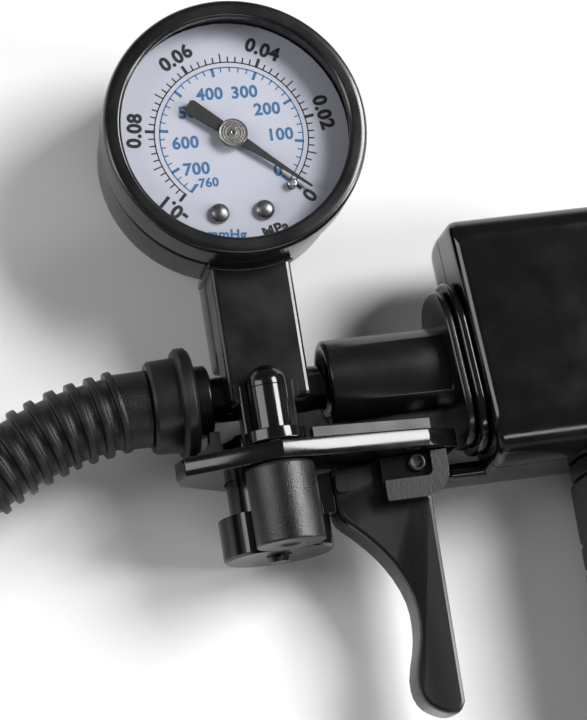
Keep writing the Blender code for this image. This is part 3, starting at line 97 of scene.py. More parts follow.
class Body(Enum):
    """Rigid bodies of the CAD model."""

    FRAME = "frame"
    POINTER = "pointer"
    KNOB = "release_knob"
    CROSSHEAD = "crosshead"
    TRIGGER = "trigger"
    INTAKE = "intake_valve"
    EXHAUST = "exhaust_valve"


# ---- Finishes ---------------------------------------------------------------------------------
@dataclass(frozen=True)
class Finish:
    """A surface with mottled colour, uneven gloss and a fine relief, all from noise in space.

    Colour runs between `dark` and `light` by a noise `mottle` cells to the metre. Roughness runs
    between two values by another noise, and `grain` cells to the metre give a relief `relief` high.
    `stretch` multiplies the noises' coordinates, so that a large value packs them along that axis.
    """

    name: str
    slot: str
    dark: Triple
    light: Triple
    roughness: Pair
    mottle: float = 300.0
    smear: float = 120.0
    grain: float = 3000.0
    relief: float = 0.01 * MM
    strength: float = 0.4
    metallic: float = 0.0
    alpha: float = 1.0
    coat: float = 0.0
    sheen: float = 0.0
    specular: float = 0.5
    stretch: Triple = (1.0, 1.0, 1.0)

    def material(self) -> bpy.types.Material:
        """Material of this finish, made once.

        Returns:
            The material, shared by every piece that has the finish.
        """
        made = bpy.data.materials.get(self.name)
        if made:
            return made
        made = bpy.data.materials.new(self.name)
        made.use_nodes = True
        nodes, links = made.node_tree.nodes, made.node_tree.links
        shader = nodes["Principled BSDF"]
        for label, value in (("Metallic", self.metallic), ("Alpha", self.alpha),
                             ("Coat Weight", self.coat), ("Coat Roughness", 0.08),
                             ("Sheen Weight", self.sheen), ("Specular IOR Level", self.specular)):
            shader.inputs[label].default_value = value
        space = nodes.new("ShaderNodeTexCoord")
        mapping = nodes.new("ShaderNodeMapping")
        mapping.inputs["Scale"].default_value = self.stretch
        links.new(space.outputs["Object"], mapping.inputs["Vector"])
        colour = self._ramp(nodes, links, mapping)
        links.new(colour, shader.inputs["Base Color"])
        smear = self._noise(nodes, links, mapping, self.smear, 4.0)
        level = nodes.new("ShaderNodeMapRange")
        for label, value in (("From Min", 0.3), ("From Max", 0.7), ("To Min", self.roughness[0]),
                             ("To Max", self.roughness[1])):
            level.inputs[label].default_value = value
        links.new(smear, level.inputs["Value"])
        links.new(level.outputs["Result"], shader.inputs["Roughness"])
        bump = nodes.new("ShaderNodeBump")
        bump.inputs["Strength"].default_value = self.strength
        bump.inputs["Distance"].default_value = self.relief
        links.new(self._relief(nodes, links, mapping), bump.inputs["Height"])
        links.new(bump.outputs["Normal"], shader.inputs["Normal"])
        return made

    def _noise(self, nodes, links, mapping, scale: float, detail: float):
        """Output of a noise on the mapped coordinates, `scale` cells to the metre."""
        noise = nodes.new("ShaderNodeTexNoise")
        noise.inputs["Scale"].default_value = scale
        noise.inputs["Detail"].default_value = detail
        links.new(mapping.outputs["Vector"], noise.inputs["Vector"])
        return noise.outputs["Fac"]

    def _ramp(self, nodes, links, mapping):
        """Colour that runs from `dark` to `light` with a noise of `mottle` cells to the metre."""
        ramp = nodes.new("ShaderNodeValToRGB")
        stops = ramp.color_ramp.elements
        stops[0].position, stops[1].position = 0.35, 0.68
        stops[0].color, stops[1].color = (*self.dark, 1.0), (*self.light, 1.0)
        links.new(self._noise(nodes, links, mapping, self.mottle, 5.0), ramp.inputs["Fac"])
        return ramp.outputs["Color"]

    def _relief(self, nodes, links, mapping):
        """Height of the fine relief: here a plain noise."""
        return self._noise(nodes, links, mapping, self.grain, 2.0)


@dataclass(frozen=True)
class PebbledFinish(Finish):
    """Relief of rounded pebbles instead of plain noise, as in spark-eroded mould texture."""

    def _relief(self, nodes, links, mapping):
        """Height of rounded cells mixed with noise."""
        cells = nodes.new("ShaderNodeTexVoronoi")
        cells.feature = "SMOOTH_F1"
        cells.inputs["Scale"].default_value = self.grain
        links.new(mapping.outputs["Vector"], cells.inputs["Vector"])
        mixed = nodes.new("ShaderNodeMath")
        mixed.operation = "ADD"
        links.new(cells.outputs["Distance"], mixed.inputs[0])
        links.new(self._noise(nodes, links, mapping, self.grain * 1.7, 3.0), mixed.inputs[1])
        return mixed.outputs["Value"]


GLOSS = Finish("gloss moulding", "gloss_black", (0.003, 0.003, 0.0033), (0.0052, 0.0052, 0.0056),
               (0.09, 0.17), mottle=180.0, grain=900.0, relief=0.012 * MM, strength=0.25)
PAINT = Finish("stoved black paint", "gloss_black", (0.0035, 0.0035, 0.0038),
               (0.006, 0.006, 0.0064), (0.2, 0.32), mottle=420.0, grain=2600.0, relief=0.006 * MM,
               strength=0.35, coat=0.25)
SATIN = Finish("satin moulding", "satin_black", (0.0035, 0.0035, 0.0038), (0.006, 0.006, 0.0064),
               (0.2, 0.3), mottle=260.0, grain=4200.0, relief=0.006 * MM, strength=0.35)
LEVER = Finish("drawn-grain moulding", "satin_black", (0.0045, 0.0045, 0.0048),
               (0.0075, 0.0075, 0.008), (0.22, 0.34), grain=2600.0, relief=0.01 * MM, strength=0.4,
               stretch=(1.0, 0.12, 1.0))
PEBBLED = PebbledFinish("spark-eroded moulding", "grained_black", (0.006, 0.006, 0.0063),
                        (0.013, 0.013, 0.0135), (0.25, 0.34), grain=3800.0, relief=0.05 * MM,
                        strength=0.8)
TAB = PebbledFinish("grained tab moulding", "grained_black", (0.008, 0.008, 0.0083),
                    (0.015, 0.015, 0.0155), (0.32, 0.46), grain=4000.0, relief=0.025 * MM,
                    strength=0.7, stretch=(1.0, 0.35, 1.0))
COLLAR = PebbledFinish("matt collar moulding", "grained_black", (0.005, 0.005, 0.0052),
                       (0.0095, 0.0095, 0.0098), (0.34, 0.48), grain=4200.0, relief=0.03 * MM,
                       strength=0.6, specular=0.36)
HOSE_RUBBER = PebbledFinish("hose rubber", "rubber", (0.004, 0.004, 0.0042), (0.009, 0.009, 0.0093),
                            (0.3, 0.46), mottle=700.0, grain=4300.0, relief=0.05 * MM,
                            strength=0.75, sheen=0.02, specular=0.32)
GRIP_RUBBER = PebbledFinish("grip rubber", "rubber", (0.013, 0.013, 0.0135), (0.022, 0.022, 0.0225),
                            (0.55, 0.7), grain=2400.0, relief=0.08 * MM, strength=0.8, sheen=0.08)
VALVE_RUBBER = Finish("valve rubber", "rubber", (0.014, 0.014, 0.015), (0.024, 0.024, 0.025),
                      (0.5, 0.65), grain=3500.0, relief=0.01 * MM)
STEEL = Finish("bright steel", "steel", (0.42, 0.42, 0.43), (0.62, 0.62, 0.62), (0.22, 0.4),
               mottle=900.0, smear=700.0, grain=5000.0, relief=0.004 * MM, metallic=1.0)
BLUED = Finish("blackened steel", "steel", (0.02, 0.02, 0.021), (0.05, 0.05, 0.052), (0.2, 0.35),
               mottle=900.0, smear=700.0, grain=4000.0, relief=0.008 * MM, metallic=0.6)
TURNED = Finish("turned steel", "steel", (0.2, 0.195, 0.19), (0.38, 0.37, 0.36), (0.3, 0.45),
                mottle=2200.0, smear=900.0, grain=7000.0, relief=0.01 * MM, metallic=1.0,
                strength=0.6)
BRASS = Finish("turned brass", "brass", (0.6, 0.41, 0.16), (0.78, 0.58, 0.28), (0.25, 0.42),
               mottle=800.0, metallic=1.0)
DIAL = Finish("dial enamel", "dial_white", (0.60, 0.62, 0.72), (0.66, 0.68, 0.775), (0.45, 0.6),
              mottle=60.0, grain=5000.0, relief=0.003 * MM, strength=0.2)
BLACK_INK = Finish("black dial ink", "pointer_black", (0.008, 0.008, 0.009), (0.02, 0.02, 0.022),
                   (0.45, 0.6), mottle=1500.0, relief=0.002 * MM)
BLUE_INK = Finish("blue dial ink", "dial_white", (0.035, 0.14, 0.33), (0.06, 0.2, 0.42),
                  (0.45, 0.6), mottle=1500.0, relief=0.002 * MM)
NEEDLE = Finish("pointer paint", "pointer_black", (0.011, 0.011, 0.012), (0.02, 0.02, 0.021),
                (0.42, 0.6), grain=4000.0, relief=0.01 * MM)
IVORY = Finish("low-friction plastic", "ivory_plastic", (0.66, 0.63, 0.57), (0.76, 0.74, 0.69),
               (0.4, 0.5))
FOAM = PebbledFinish("filter foam", "foam", (0.06, 0.06, 0.065), (0.16, 0.16, 0.17), (0.9, 1.0),
                     grain=900.0, relief=0.4 * MM, strength=1.0)
WINDOW = Finish("clear window", "clear_lens", (0.02, 0.022, 0.024), (0.03, 0.032, 0.034),
                (0.02, 0.05), grain=300.0, relief=0.001 * MM, strength=0.05, alpha=0.09)
TABLE = Finish("studio paper", "", (0.86, 0.86, 0.86), (0.9, 0.9, 0.9), (0.75, 0.9), mottle=3.0,
               grain=900.0, relief=0.02 * MM, strength=0.1)


# ---- Outlines and profiles --------------------------------------------------------------------
def softened(corners: Sequence[Pair], radius: float | Sequence[float], closed: bool = False,
             steps: int = 6) -> np.ndarray:
    """Polyline with its corners rounded.

    Each corner P with neighbours A and B becomes the quadratic curve from P + r(A-P)/|A-P| to
    P + r(B-P)/|B-P| with P as its control point, r being limited to 0.45 of the shorter side.

    Args:
        corners: The polyline's points.
        radius: How far each rounding reaches, one value or one for each corner.
        closed: Whether the last point joins the first.
        steps: Stretches in each rounding.

    Returns:
        Points as an (n, 2) array.
    """
    points = np.array(corners, float)
    reach = np.broadcast_to(np.asarray(radius, float), (len(points),))
    before, after = np.roll(points, 1, axis=0) - points, np.roll(points, -1, axis=0) - points
    length_before = np.linalg.norm(before, axis=1)
    length_after = np.linalg.norm(after, axis=1)
    limit = np.minimum(reach, 0.45 * np.minimum(length_before, length_after))
    start = points + before / length_before[:, None] * limit[:, None]
    end = points + after / length_after[:, None] * limit[:, None]
    t = np.linspace(0, 1, steps + 1)[None, :, None]
    drawn = (1 - t) ** 2 * start[:, None] + 2 * t * (1 - t) * points[:, None] + t**2 * end[:, None]
    if closed:
        return drawn.reshape(-1, 2)
    return np.concatenate([points[:1], drawn[1:-1].reshape(-1, 2), points[-1:]])


def smooth_run(points: Sequence[Sequence[float]], steps: int) -> np.ndarray:
    """Smooth curve through every point.

    Between P1 and P2 it is the Catmull-Rom cubic of P0, P1, P2, P3, in `steps` stretches.

    Args:
        points: The points, each of two or three coordinates.
        steps: Stretches between two points.

    Returns:
        Points of the curve, one row each.
    """
    p = np.array(points, float)
    p = np.concatenate([p[:1], p, p[-1:]])
    t = (np.arange(steps) / steps)[None, :, None]
    p0, p1, p2, p3 = p[:-3, None], p[1:-2, None], p[2:-1, None], p[3:, None]
    curve = 0.5 * (2 * p1 + (p2 - p0) * t + (2 * p0 - 5 * p1 + 4 * p2 - p3) * t**2
                   + (3 * p1 - p0 - 3 * p2 + p3) * t**3)
    return np.concatenate([curve.reshape(-1, p.shape[1]), p[-1:]])


def arc(centre: Pair, radius: float, start: float, end: float, steps: int) -> np.ndarray:
    """Points of a circle's arc between two angles in degrees, counter-clockwise from +u."""
    angle = np.radians(np.linspace(start, end, steps + 1))
    return np.stack([centre[0] + radius * np.cos(angle), centre[1] + radius * np.sin(angle)], -1)


def inset(outline: np.ndarray, distance: float) -> np.ndarray:
    """Closed outline moved inwards by a distance.

    Each point moves along the sum of its two sides' normals n1 + n2, scaled by
    distance / (1 + n1.n2), which keeps every side at that distance from where it was.
    """
    edge = np.roll(outline, -1, axis=0) - outline
    edge = edge / np.maximum(np.linalg.norm(edge, axis=1, keepdims=True), 1e-12)
    following = np.roll(outline, -1, axis=0)
    area = np.sum(outline[:, 0] * following[:, 1] - following[:, 0] * outline[:, 1])
    normal = np.stack([-edge[:, 1], edge[:, 0]], -1) * math.copysign(1.0, area)
    earlier = np.roll(normal, 1, axis=0)
    dot = np.sum(normal * earlier, axis=1, keepdims=True)
    return outline + distance * (normal + earlier) / np.maximum(1 + dot, 0.3)


def thinned(outline: np.ndarray, least: float = 0.02 * MM) -> np.ndarray:
    """Closed outline without the points that lie closer than `least` to the one before."""
    step = np.linalg.norm(outline - np.roll(outline, 1, axis=0), axis=1)
    return outline[step > least]


# ---- Surfaces ---------------------------------------------------------------------------------
def rings_surface(rings: np.ndarray, looped: bool = False) -> Surface:
    """Skin over a stack of closed rings.

    Args:
        rings: Array (rings, points, 3). Point j of one ring joins point j of the next.
        looped: Whether the last ring joins the first. If not, each end is closed by one face.

    Returns:
        Points and faces.
    """
    count, around = rings.shape[:2]
    last = count if looped else count - 1
    low = np.arange(last)[:, None] * around
    high = ((np.arange(last) + 1) % count)[:, None] * around
    j = np.arange(around)[None, :]
    k = (j + 1) % around
    quads = np.stack([low + j, low + k, high + k, high + j], -1).reshape(-1, 4)
    faces = quads.tolist()
    if not looped:
        faces.append(list(range(around))[::-1])
        faces.append([(count - 1) * around + i for i in range(around)])
    return rings.reshape(-1, 3), faces


def turned(profile: np.ndarray, centre: Pair, axis: Axis, segments: int = 96,
           looped: bool = False) -> Surface:
    """Profile turned about an axis.

    At angle a its point (s, r) is s along, r cos a and r sin a across.

    Args:
        profile: Rows of (along, radius).
        centre: Where the axis crosses the plane of the other two coordinates.
        axis: The axis' direction.
        segments: Stretches round the circle.
        looped: Whether the profile is a closed ring that stays clear of the axis.

    Returns:
        Points and faces.
    """
    angle = np.linspace(0, 2 * np.pi, segments, endpoint=False)[None, :]
    along, radius = profile[:, :1], profile[:, 1:]
    radius = np.maximum(radius, 1e-6)
    u = centre[0] + radius * np.cos(angle)
    v = centre[1] + radius * np.sin(angle)
    return rings_surface(axis.stack(along, u, v), looped)


def slab(outline: np.ndarray, low: float, high: float, edge: float, axis: Axis,
         steps: int = 5) -> Surface:
    """Outline pushed along an axis, with both rims rounded.

    Ring k of a rim is the outline moved in by e(1 - sin a) at a height e(1 - cos a) from the face,
    with a from 0 to 90 degrees.

    Args:
        outline: Closed outline in the other two coordinates.
        low: Start along the axis.
        high: End along the axis.
        edge: Radius of the rims.
        axis: Direction of the push.
        steps: Stretches in each rim.

    Returns:
        Points and faces.
    """
    outline = thinned(outline)
    angle = np.radians(np.linspace(0, 90, steps + 1))
    moved = [inset(outline, edge * (1 - math.sin(a))) for a in angle]
    rise = edge * (1 - np.cos(angle))
    rings = [axis.stack(np.array(low + h), m[:, 0], m[:, 1]) for h, m in zip(rise, moved)]
    rings += [axis.stack(np.array(high - h), m[:, 0], m[:, 1])
              for h, m in zip(rise[::-1], moved[::-1])]
    return rings_surface(np.array(rings))


def joined(*surfaces: Surface) -> Surface:
    """Several surfaces as one set of points and faces."""
    points, faces, start = [], [], 0
    for own_points, own_faces in surfaces:
        points.append(own_points)
        faces += [[index + start for index in face] for face in own_faces]
        start += len(own_points)
    return np.concatenate(points), faces


def pipe(path: np.ndarray, radius: np.ndarray, stations: np.ndarray, segments: int) -> Surface:
    """Tube round a path whose radius varies along it.

    At each station s the ring is P(s) + r(s)(cos a N + sin a B), with N level and across the
    path's direction T, and B = T x N.

    Args:
        path: Points of the centreline.
        radius: Radius at each station.
        stations: Distances along the path.
        segments: Stretches round the ring.

    Returns:
        Points and faces.
    """
    step = np.linalg.norm(np.diff(path, axis=0), axis=1)
    run = np.concatenate([[0.0], np.cumsum(step)])
    tangent = np.gradient(path, run, axis=0)
    centre = np.stack([np.interp(stations, run, path[:, i]) for i in range(3)], -1)
    along = np.stack([np.interp(stations, run, tangent[:, i]) for i in range(3)], -1)
    along /= np.linalg.norm(along, axis=1, keepdims=True)
    across = np.cross(along, [0.0, 0.0, 1.0])
    across /= np.linalg.norm(across, axis=1, keepdims=True)
    over = np.cross(along, across)
    angle = np.linspace(0, 2 * np.pi, segments, endpoint=False)[None, :, None]
    spoke = across[:, None] * np.cos(angle) + over[:, None] * np.sin(angle)
    return rings_surface(centre[:, None] + radius[:, None, None] * spoke)


# ---- Pieces -----------------------------------------------------------------------------------
def finish_mesh(mesh: bpy.types.Mesh, finish: Finish, crease: float) -> None:
    """Turn a mesh's faces outwards, shade it smooth but for its creases, and give it its finish."""
    work = bmesh.new()
    work.from_mesh(mesh)
    bmesh.ops.recalc_face_normals(work, faces=work.faces)
    work.to_mesh(mesh)
    work.free()
    mesh.shade_smooth()
    mesh.set_sharp_from_angle(angle=math.radians(crease))
    mesh.materials.clear()
    mesh.materials.append(finish.material())


def mount(piece: bpy.types.Object, body: Body, stands_for: Sequence[str]) -> None:
    """Put a piece on its body, in place of the CAD nodes it stands for.

    Args:
        piece: The object.
        body: The body that it rides on.
        stands_for: CAD nodes that it replaces.
    """
    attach(piece, body.value)
    if stands_for:
        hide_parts(*stands_for)
    log.info("%s: %d faces on %s", piece.name, len(piece.data.polygons), body.value)


def add_piece(name: str, surface: Surface, finish: Finish, body: Optional[Body],
              stands_for: Sequence[str] = (), crease: float = 38.0) -> bpy.types.Object:
    """New object that rides on a body.

    Args:
        name: The object's name.
        surface: Its points and faces.
        finish: What it is made of.
        body: The body that it rides on, or None for a piece of the stage.
        stands_for: CAD nodes that it replaces.
        crease: Angle between faces, in degrees, past which an edge stays sharp.

    Returns:
        The object.
    """
    points, faces = surface
    mesh = bpy.data.meshes.new(name)
    mesh.from_pydata(np.asarray(points, float).tolist(), [], faces)
    mesh.update()
    finish_mesh(mesh, finish, crease)
    piece = bpy.data.objects.new(name, mesh)
    bpy.context.scene.collection.objects.link(piece)
    if body is not None:
        mount(piece, body, stands_for)
    return piece


def smooth_copy(node: str, finish: Finish, body: Body, rim: float = 0.0,
                crease: float = 24.0) -> bpy.types.Object:
    """Copy of a CAD node with merged points, smooth shading and, if asked, softened rims.

    Args:
        node: The CAD node's name.
        finish: What it is made of.
        body: The body that it rides on.
        rim: Width of the softening on its sharp edges.
        crease: Angle between faces, in degrees, past which an edge stays sharp.

    Returns:
        The object that replaces the node.
    """
    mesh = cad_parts[node].data.copy()
    mesh.name = node + "_skin"
    work = bmesh.new()
    work.from_mesh(mesh)
    bmesh.ops.remove_doubles(work, verts=work.verts, dist=1e-6)
    bmesh.ops.dissolve_limit(work, angle_limit=math.radians(0.6), verts=work.verts,
                             edges=work.edges)
    work.to_mesh(mesh)
    work.free()
    finish_mesh(mesh, finish, crease)
    piece = bpy.data.objects.new(node + "_skin", mesh)
    bpy.context.scene.collection.objects.link(piece)
    if rim:
        edge = piece.modifiers.new("rim", "BEVEL")
        edge.width = rim
        edge.segments = 2
        edge.limit_method = "ANGLE"
        edge.angle_limit = math.radians(38)
        edge.harden_normals = True
    mount(piece, body, [node])
    return piece


def second_finish(piece: bpy.types.Object, finish: Finish, axis: Axis, level: float,
                  above: bool) -> None:
    """Give another finish to the faces whose middles lie on one side of a level.

    Args:
        piece: The object.
        finish: The other finish.
        axis: Axis that the level is measured along.
        level: Where the change is.
        above: Whether the faces past the level change, rather than those before it.
    """
    mesh = piece.data
    mesh.materials.append(finish.material())
    middles = np.empty(len(mesh.polygons) * 3)
    mesh.polygons.foreach_get("center", middles)
    past = middles[axis.value::3] > level
    mesh.polygons.foreach_set("material_index", (past == above).astype(np.int32))


def dress(finish: Finish, *nodes: str) -> None:
    """Give CAD nodes that stay as they are a finish."""
    for node in nodes:
        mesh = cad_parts[node].data
        mesh.materials.clear()
        mesh.materials.append(finish.material())


def corners(node: str) -> tuple[np.ndarray, np.ndarray]:
    """Lowest and highest corner of a CAD node's box."""
    low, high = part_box(node)
    return np.array(low), np.array(high)


@dataclass(frozen=True)
class Round:
    """A round CAD node: its ends along its axis, its centre across it and its radius."""

    low: float
    high: float
    centre: Pair
    radius: float


def round_of(node: str, axis: Axis) -> Round:
    """Measures of a round CAD node, from its box.

    Args:
        node: The CAD node's name.
        axis: The axis that it is round about.

    Returns:
        Its ends, centre and radius.
    """
    low, high = corners(node)
    u, v = (i for i in range(3) if i != axis.value)
    centre = ((low[u] + high[u]) / 2, (low[v] + high[v]) / 2)
    return Round(low[axis.value], high[axis.value], centre, (high[u] - low[u]) / 2)


def rounded_box(node: str, axis: Axis, corner: float) -> np.ndarray:
    """Outline of a CAD node's box across an axis, with its four corners rounded.

    Args:
        node: The CAD node's name.
        axis: The axis that the outline lies across.
        corner: How far each rounding reaches.

    Returns:
        Points of the closed outline.
    """
    low, high = corners(node)
    u, v = (i for i in range(3) if i != axis.value)
    return softened([(low[u], low[v]), (high[u], low[v]), (high[u], high[v]), (low[u], high[v])],
                    corner, closed=True, steps=14)


# ---- Camera -----------------------------------------------------------------------------------
@dataclass
class Viewpoint:
    """Camera that looks down on the pump from a little to the left of and below its gauge."""

    target: Triple = (-26.854 * MM, 17.547 * MM, 20.0 * MM)
    distance: float = 550.0 * MM
    tilt_deg: float = 16.1        # between the line of sight and straight down
    bearing_deg: float = 228.4    # of the camera seen from above, counter-clockwise from +X
    roll_deg: float = 7.0         # of the frame's level, clockwise from +X
    lens: float = 174.79
    sensor: float = 36.0

    def place(self) -> None:
        """Add the camera and make it the scene's own."""
        tilt, bearing, roll = map(math.radians, (self.tilt_deg, self.bearing_deg, self.roll_deg))
        back = Vector((math.sin(tilt) * math.cos(bearing), math.sin(tilt) * math.sin(bearing),
                       math.cos(tilt)))
        right = Vector((math.cos(roll), -math.sin(roll), 0.0))
        right = (right - right.dot(back) * back).normalized()
        up = back.cross(right)
        data = bpy.data.cameras.new("camera")
        data.sensor_fit = "HORIZONTAL"
        data.sensor_width = self.sensor
        data.lens = self.lens
        data.clip_start = 0.01
        camera = bpy.data.objects.new("camera", data)
        bpy.context.scene.collection.objects.link(camera)
        turn = Matrix((right, up, back)).transposed().to_4x4()
        turn.translation = Vector(self.target) + self.distance * back
        camera.matrix_world = turn
        bpy.context.scene.camera = camera


# ---- Hose -------------------------------------------------------------------------------------
@dataclass
class RibbedHose:
    """Thick ribbed hose, from the cuff to its stepped connector."""

    route: Sequence[Triple] = (
        (-63.5, 12.0, 16.0), (-69.5, 10.9, 15.9), (-75.4, 9.2, 15.6), (-86.2, 4.4, 14.8),
        (-96.2, -2.4, 13.5), (-104.8, -10.8, 12.0), (-111.8, -20.6, 10.5), (-117.2, -31.4, 9.2),
        (-120.8, -43.0, 8.4), (-122.7, -55.0, 8.1), (-122.6, -67.0, 8.1), (-120.6, -79.0, 8.1),
        (-116.9, -90.4, 8.1), (-111.2, -101.0, 8.1), (-104.0, -110.6, 8.1), (-95.2, -119.0, 8.1),
        (-85.2, -125.8, 8.1), (-74.2, -131.0, 8.1), (-62.6, -134.4, 8.1), (-50.6, -136.2, 8.1),
        (-38.4, -136.8, 8.1), (-24.0, -136.6, 8.1), (-9.6, -136.1, 8.1), (4.8, -135.7, 8.1),
        (19.0, -135.5, 8.1), (33.0, -135.5, 8.1),
    )
    lead_in: float = 2.4 * MM         # of the tube that starts inside the cuff's own length
    body_radius: float = 6.95 * MM
    rib_radius: float = 8.05 * MM
    rib_width: float = 1.7 * MM
    pitch: float = 3.62 * MM
    length: float = 0.303

    def build(self) -> None:
        path = smooth_run(np.array(self.route) * MM, 8)
        start = path[0] - (path[1] - path[0]) / np.linalg.norm(path[1] - path[0]) * self.lead_in
        path = np.concatenate([start[None], path])
        run = float(np.linalg.norm(np.diff(path, axis=0), axis=1).sum())
        stations, radius = self._profile(run)
        tube = add_piece("hose", pipe(path, radius, stations, 72), HOSE_RUBBER, Body.FRAME,
                         ["hose_tube"], crease=50.0)
        connector = self._connector()
        self._cuff()

    def _profile(self, run: float) -> tuple[np.ndarray, np.ndarray]:
        """Radius along the tube: a rounded square rib on each pitch, with a fillet at its foot.

        Args:
            run: The tube's length.

        Returns:
            Distances along the tube, and the radius at each.
        """
        half = self.rib_width / 2
        rise = self.rib_radius - self.body_radius
        offsets = np.array([-half - 0.22 * MM, -half - 0.06 * MM, -half + 0.03 * MM,
                            -half + 0.14 * MM, -half + 0.34 * MM, half - 0.34 * MM,
                            half - 0.14 * MM, half - 0.03 * MM, half + 0.06 * MM, half + 0.22 * MM])
        heights = np.array([0.0, 0.12, 0.62, 0.92, 1.0, 1.0, 0.92, 0.62, 0.12, 0.0]) * rise
        first = 0.6 * MM
        count = int((run - first - self.pitch) / self.pitch)
        centres = first + self.pitch * np.arange(count)
        stations = (centres[:, None] + offsets[None, :]).ravel()
        radius = (self.body_radius + np.broadcast_to(heights, (count, len(heights)))).ravel()
        stations = np.concatenate([[0.0], stations, [run]])
        radius = np.concatenate([[self.body_radius], radius, [self.body_radius]])
        return stations, radius

    def _connector(self) -> bpy.types.Object:
        """Moulded sleeve with a stepped, barbed tail for a smaller tube."""
        sleeve = round_of("hose_connector", Axis.X)
        outline = [(0.0, 0.0), (0.0, 7.6), (0.6, 7.9), (2.4, 7.9), (2.7, 7.5), (4.2, 7.5),
                   (4.5, 7.9), (8.6, 7.9), (10.0, 6.3), (16.0, 6.0), (16.2, 4.4), (18.6, 5.0),
                   (18.8, 4.3), (21.4, 4.7), (21.6, 3.9), (24.6, 4.2), (26.0, 3.6), (26.0, 2.3),
                   (15.0, 2.2), (15.0, 0.0)]
        profile = softened(outline, 0.35) * MM
        profile[:, 0] += sleeve.low
        return add_piece("hose_end", turned(profile, sleeve.centre, Axis.X), SATIN, Body.FRAME,
                         ["hose_connector"])

    def _cuff(self) -> None:
        """Smooth cuff between the nut and the first rib, with a shallow lip at each end."""
        cuff = round_of("hose_cuff", Axis.X)
        low, high, r = cuff.low, cuff.high, cuff.radius
        profile = softened([(low - 0.9 * MM, 0.0), (low - 0.9 * MM, r - 0.4 * MM),
                            (low + 0.1 * MM, r - 0.15 * MM), (high - 0.6 * MM, r - 0.1 * MM),
                            (high - 0.3 * MM, r), (high, r), (high, 0.0)], 0.3 * MM)
        add_piece("cuff", turned(profile, cuff.centre, Axis.X), HOSE_RUBBER, Body.FRAME,
                  ["hose_cuff"])


@dataclass
class HoseFitting:
    """Barbed ring on the manifold and the two-step nut that clamps the hose."""

    chamfer: float = 0.7 * MM
    skirt: float = 9.0 * MM       # radius of the nut's narrower step
    ring: float = 3.0 * MM        # thickness of the nut's rim and of the barb's ring

    def build(self) -> None:
        """Make the nut and the barb."""
        nut = round_of("hose_nut", Axis.X)
        low, high, rim, skirt, c = nut.low, nut.high, nut.radius, self.skirt, self.chamfer
        rim_low = high - self.ring
        profile = softened([
            (high, 0.0), (high, rim - c), (high - c, rim), (rim_low + c, rim),
            (rim_low, rim - c), (rim_low, skirt + 0.2 * MM), (low + c * 0.8, skirt),
            (low, skirt - c * 0.8), (low, 0.0)], 0.16 * MM)
        add_piece("nut", turned(profile, nut.centre, Axis.X, 120), COLLAR, Body.FRAME,
                  ["hose_nut"])
        self._barb(nut.centre)

    def _barb(self, centre: Pair) -> None:
        """Ring against the manifold and the barbed spigot behind it."""
        barb = round_of("hose_barb", Axis.X)
        low, high, ring = barb.low, barb.high, barb.radius
        ring_low = high - self.ring
        profile = softened([
            (high, 0.0), (high, ring - 0.5 * MM), (high - 0.5 * MM, ring),
            (ring_low + 0.3 * MM, ring), (ring_low, ring - 0.3 * MM), (ring_low, 4.4 * MM),
            (low, 3.8 * MM), (low, 0.0)], 0.15 * MM)
        add_piece("barb", turned(profile, centre, Axis.X), SATIN, Body.FRAME, ["hose_barb"])


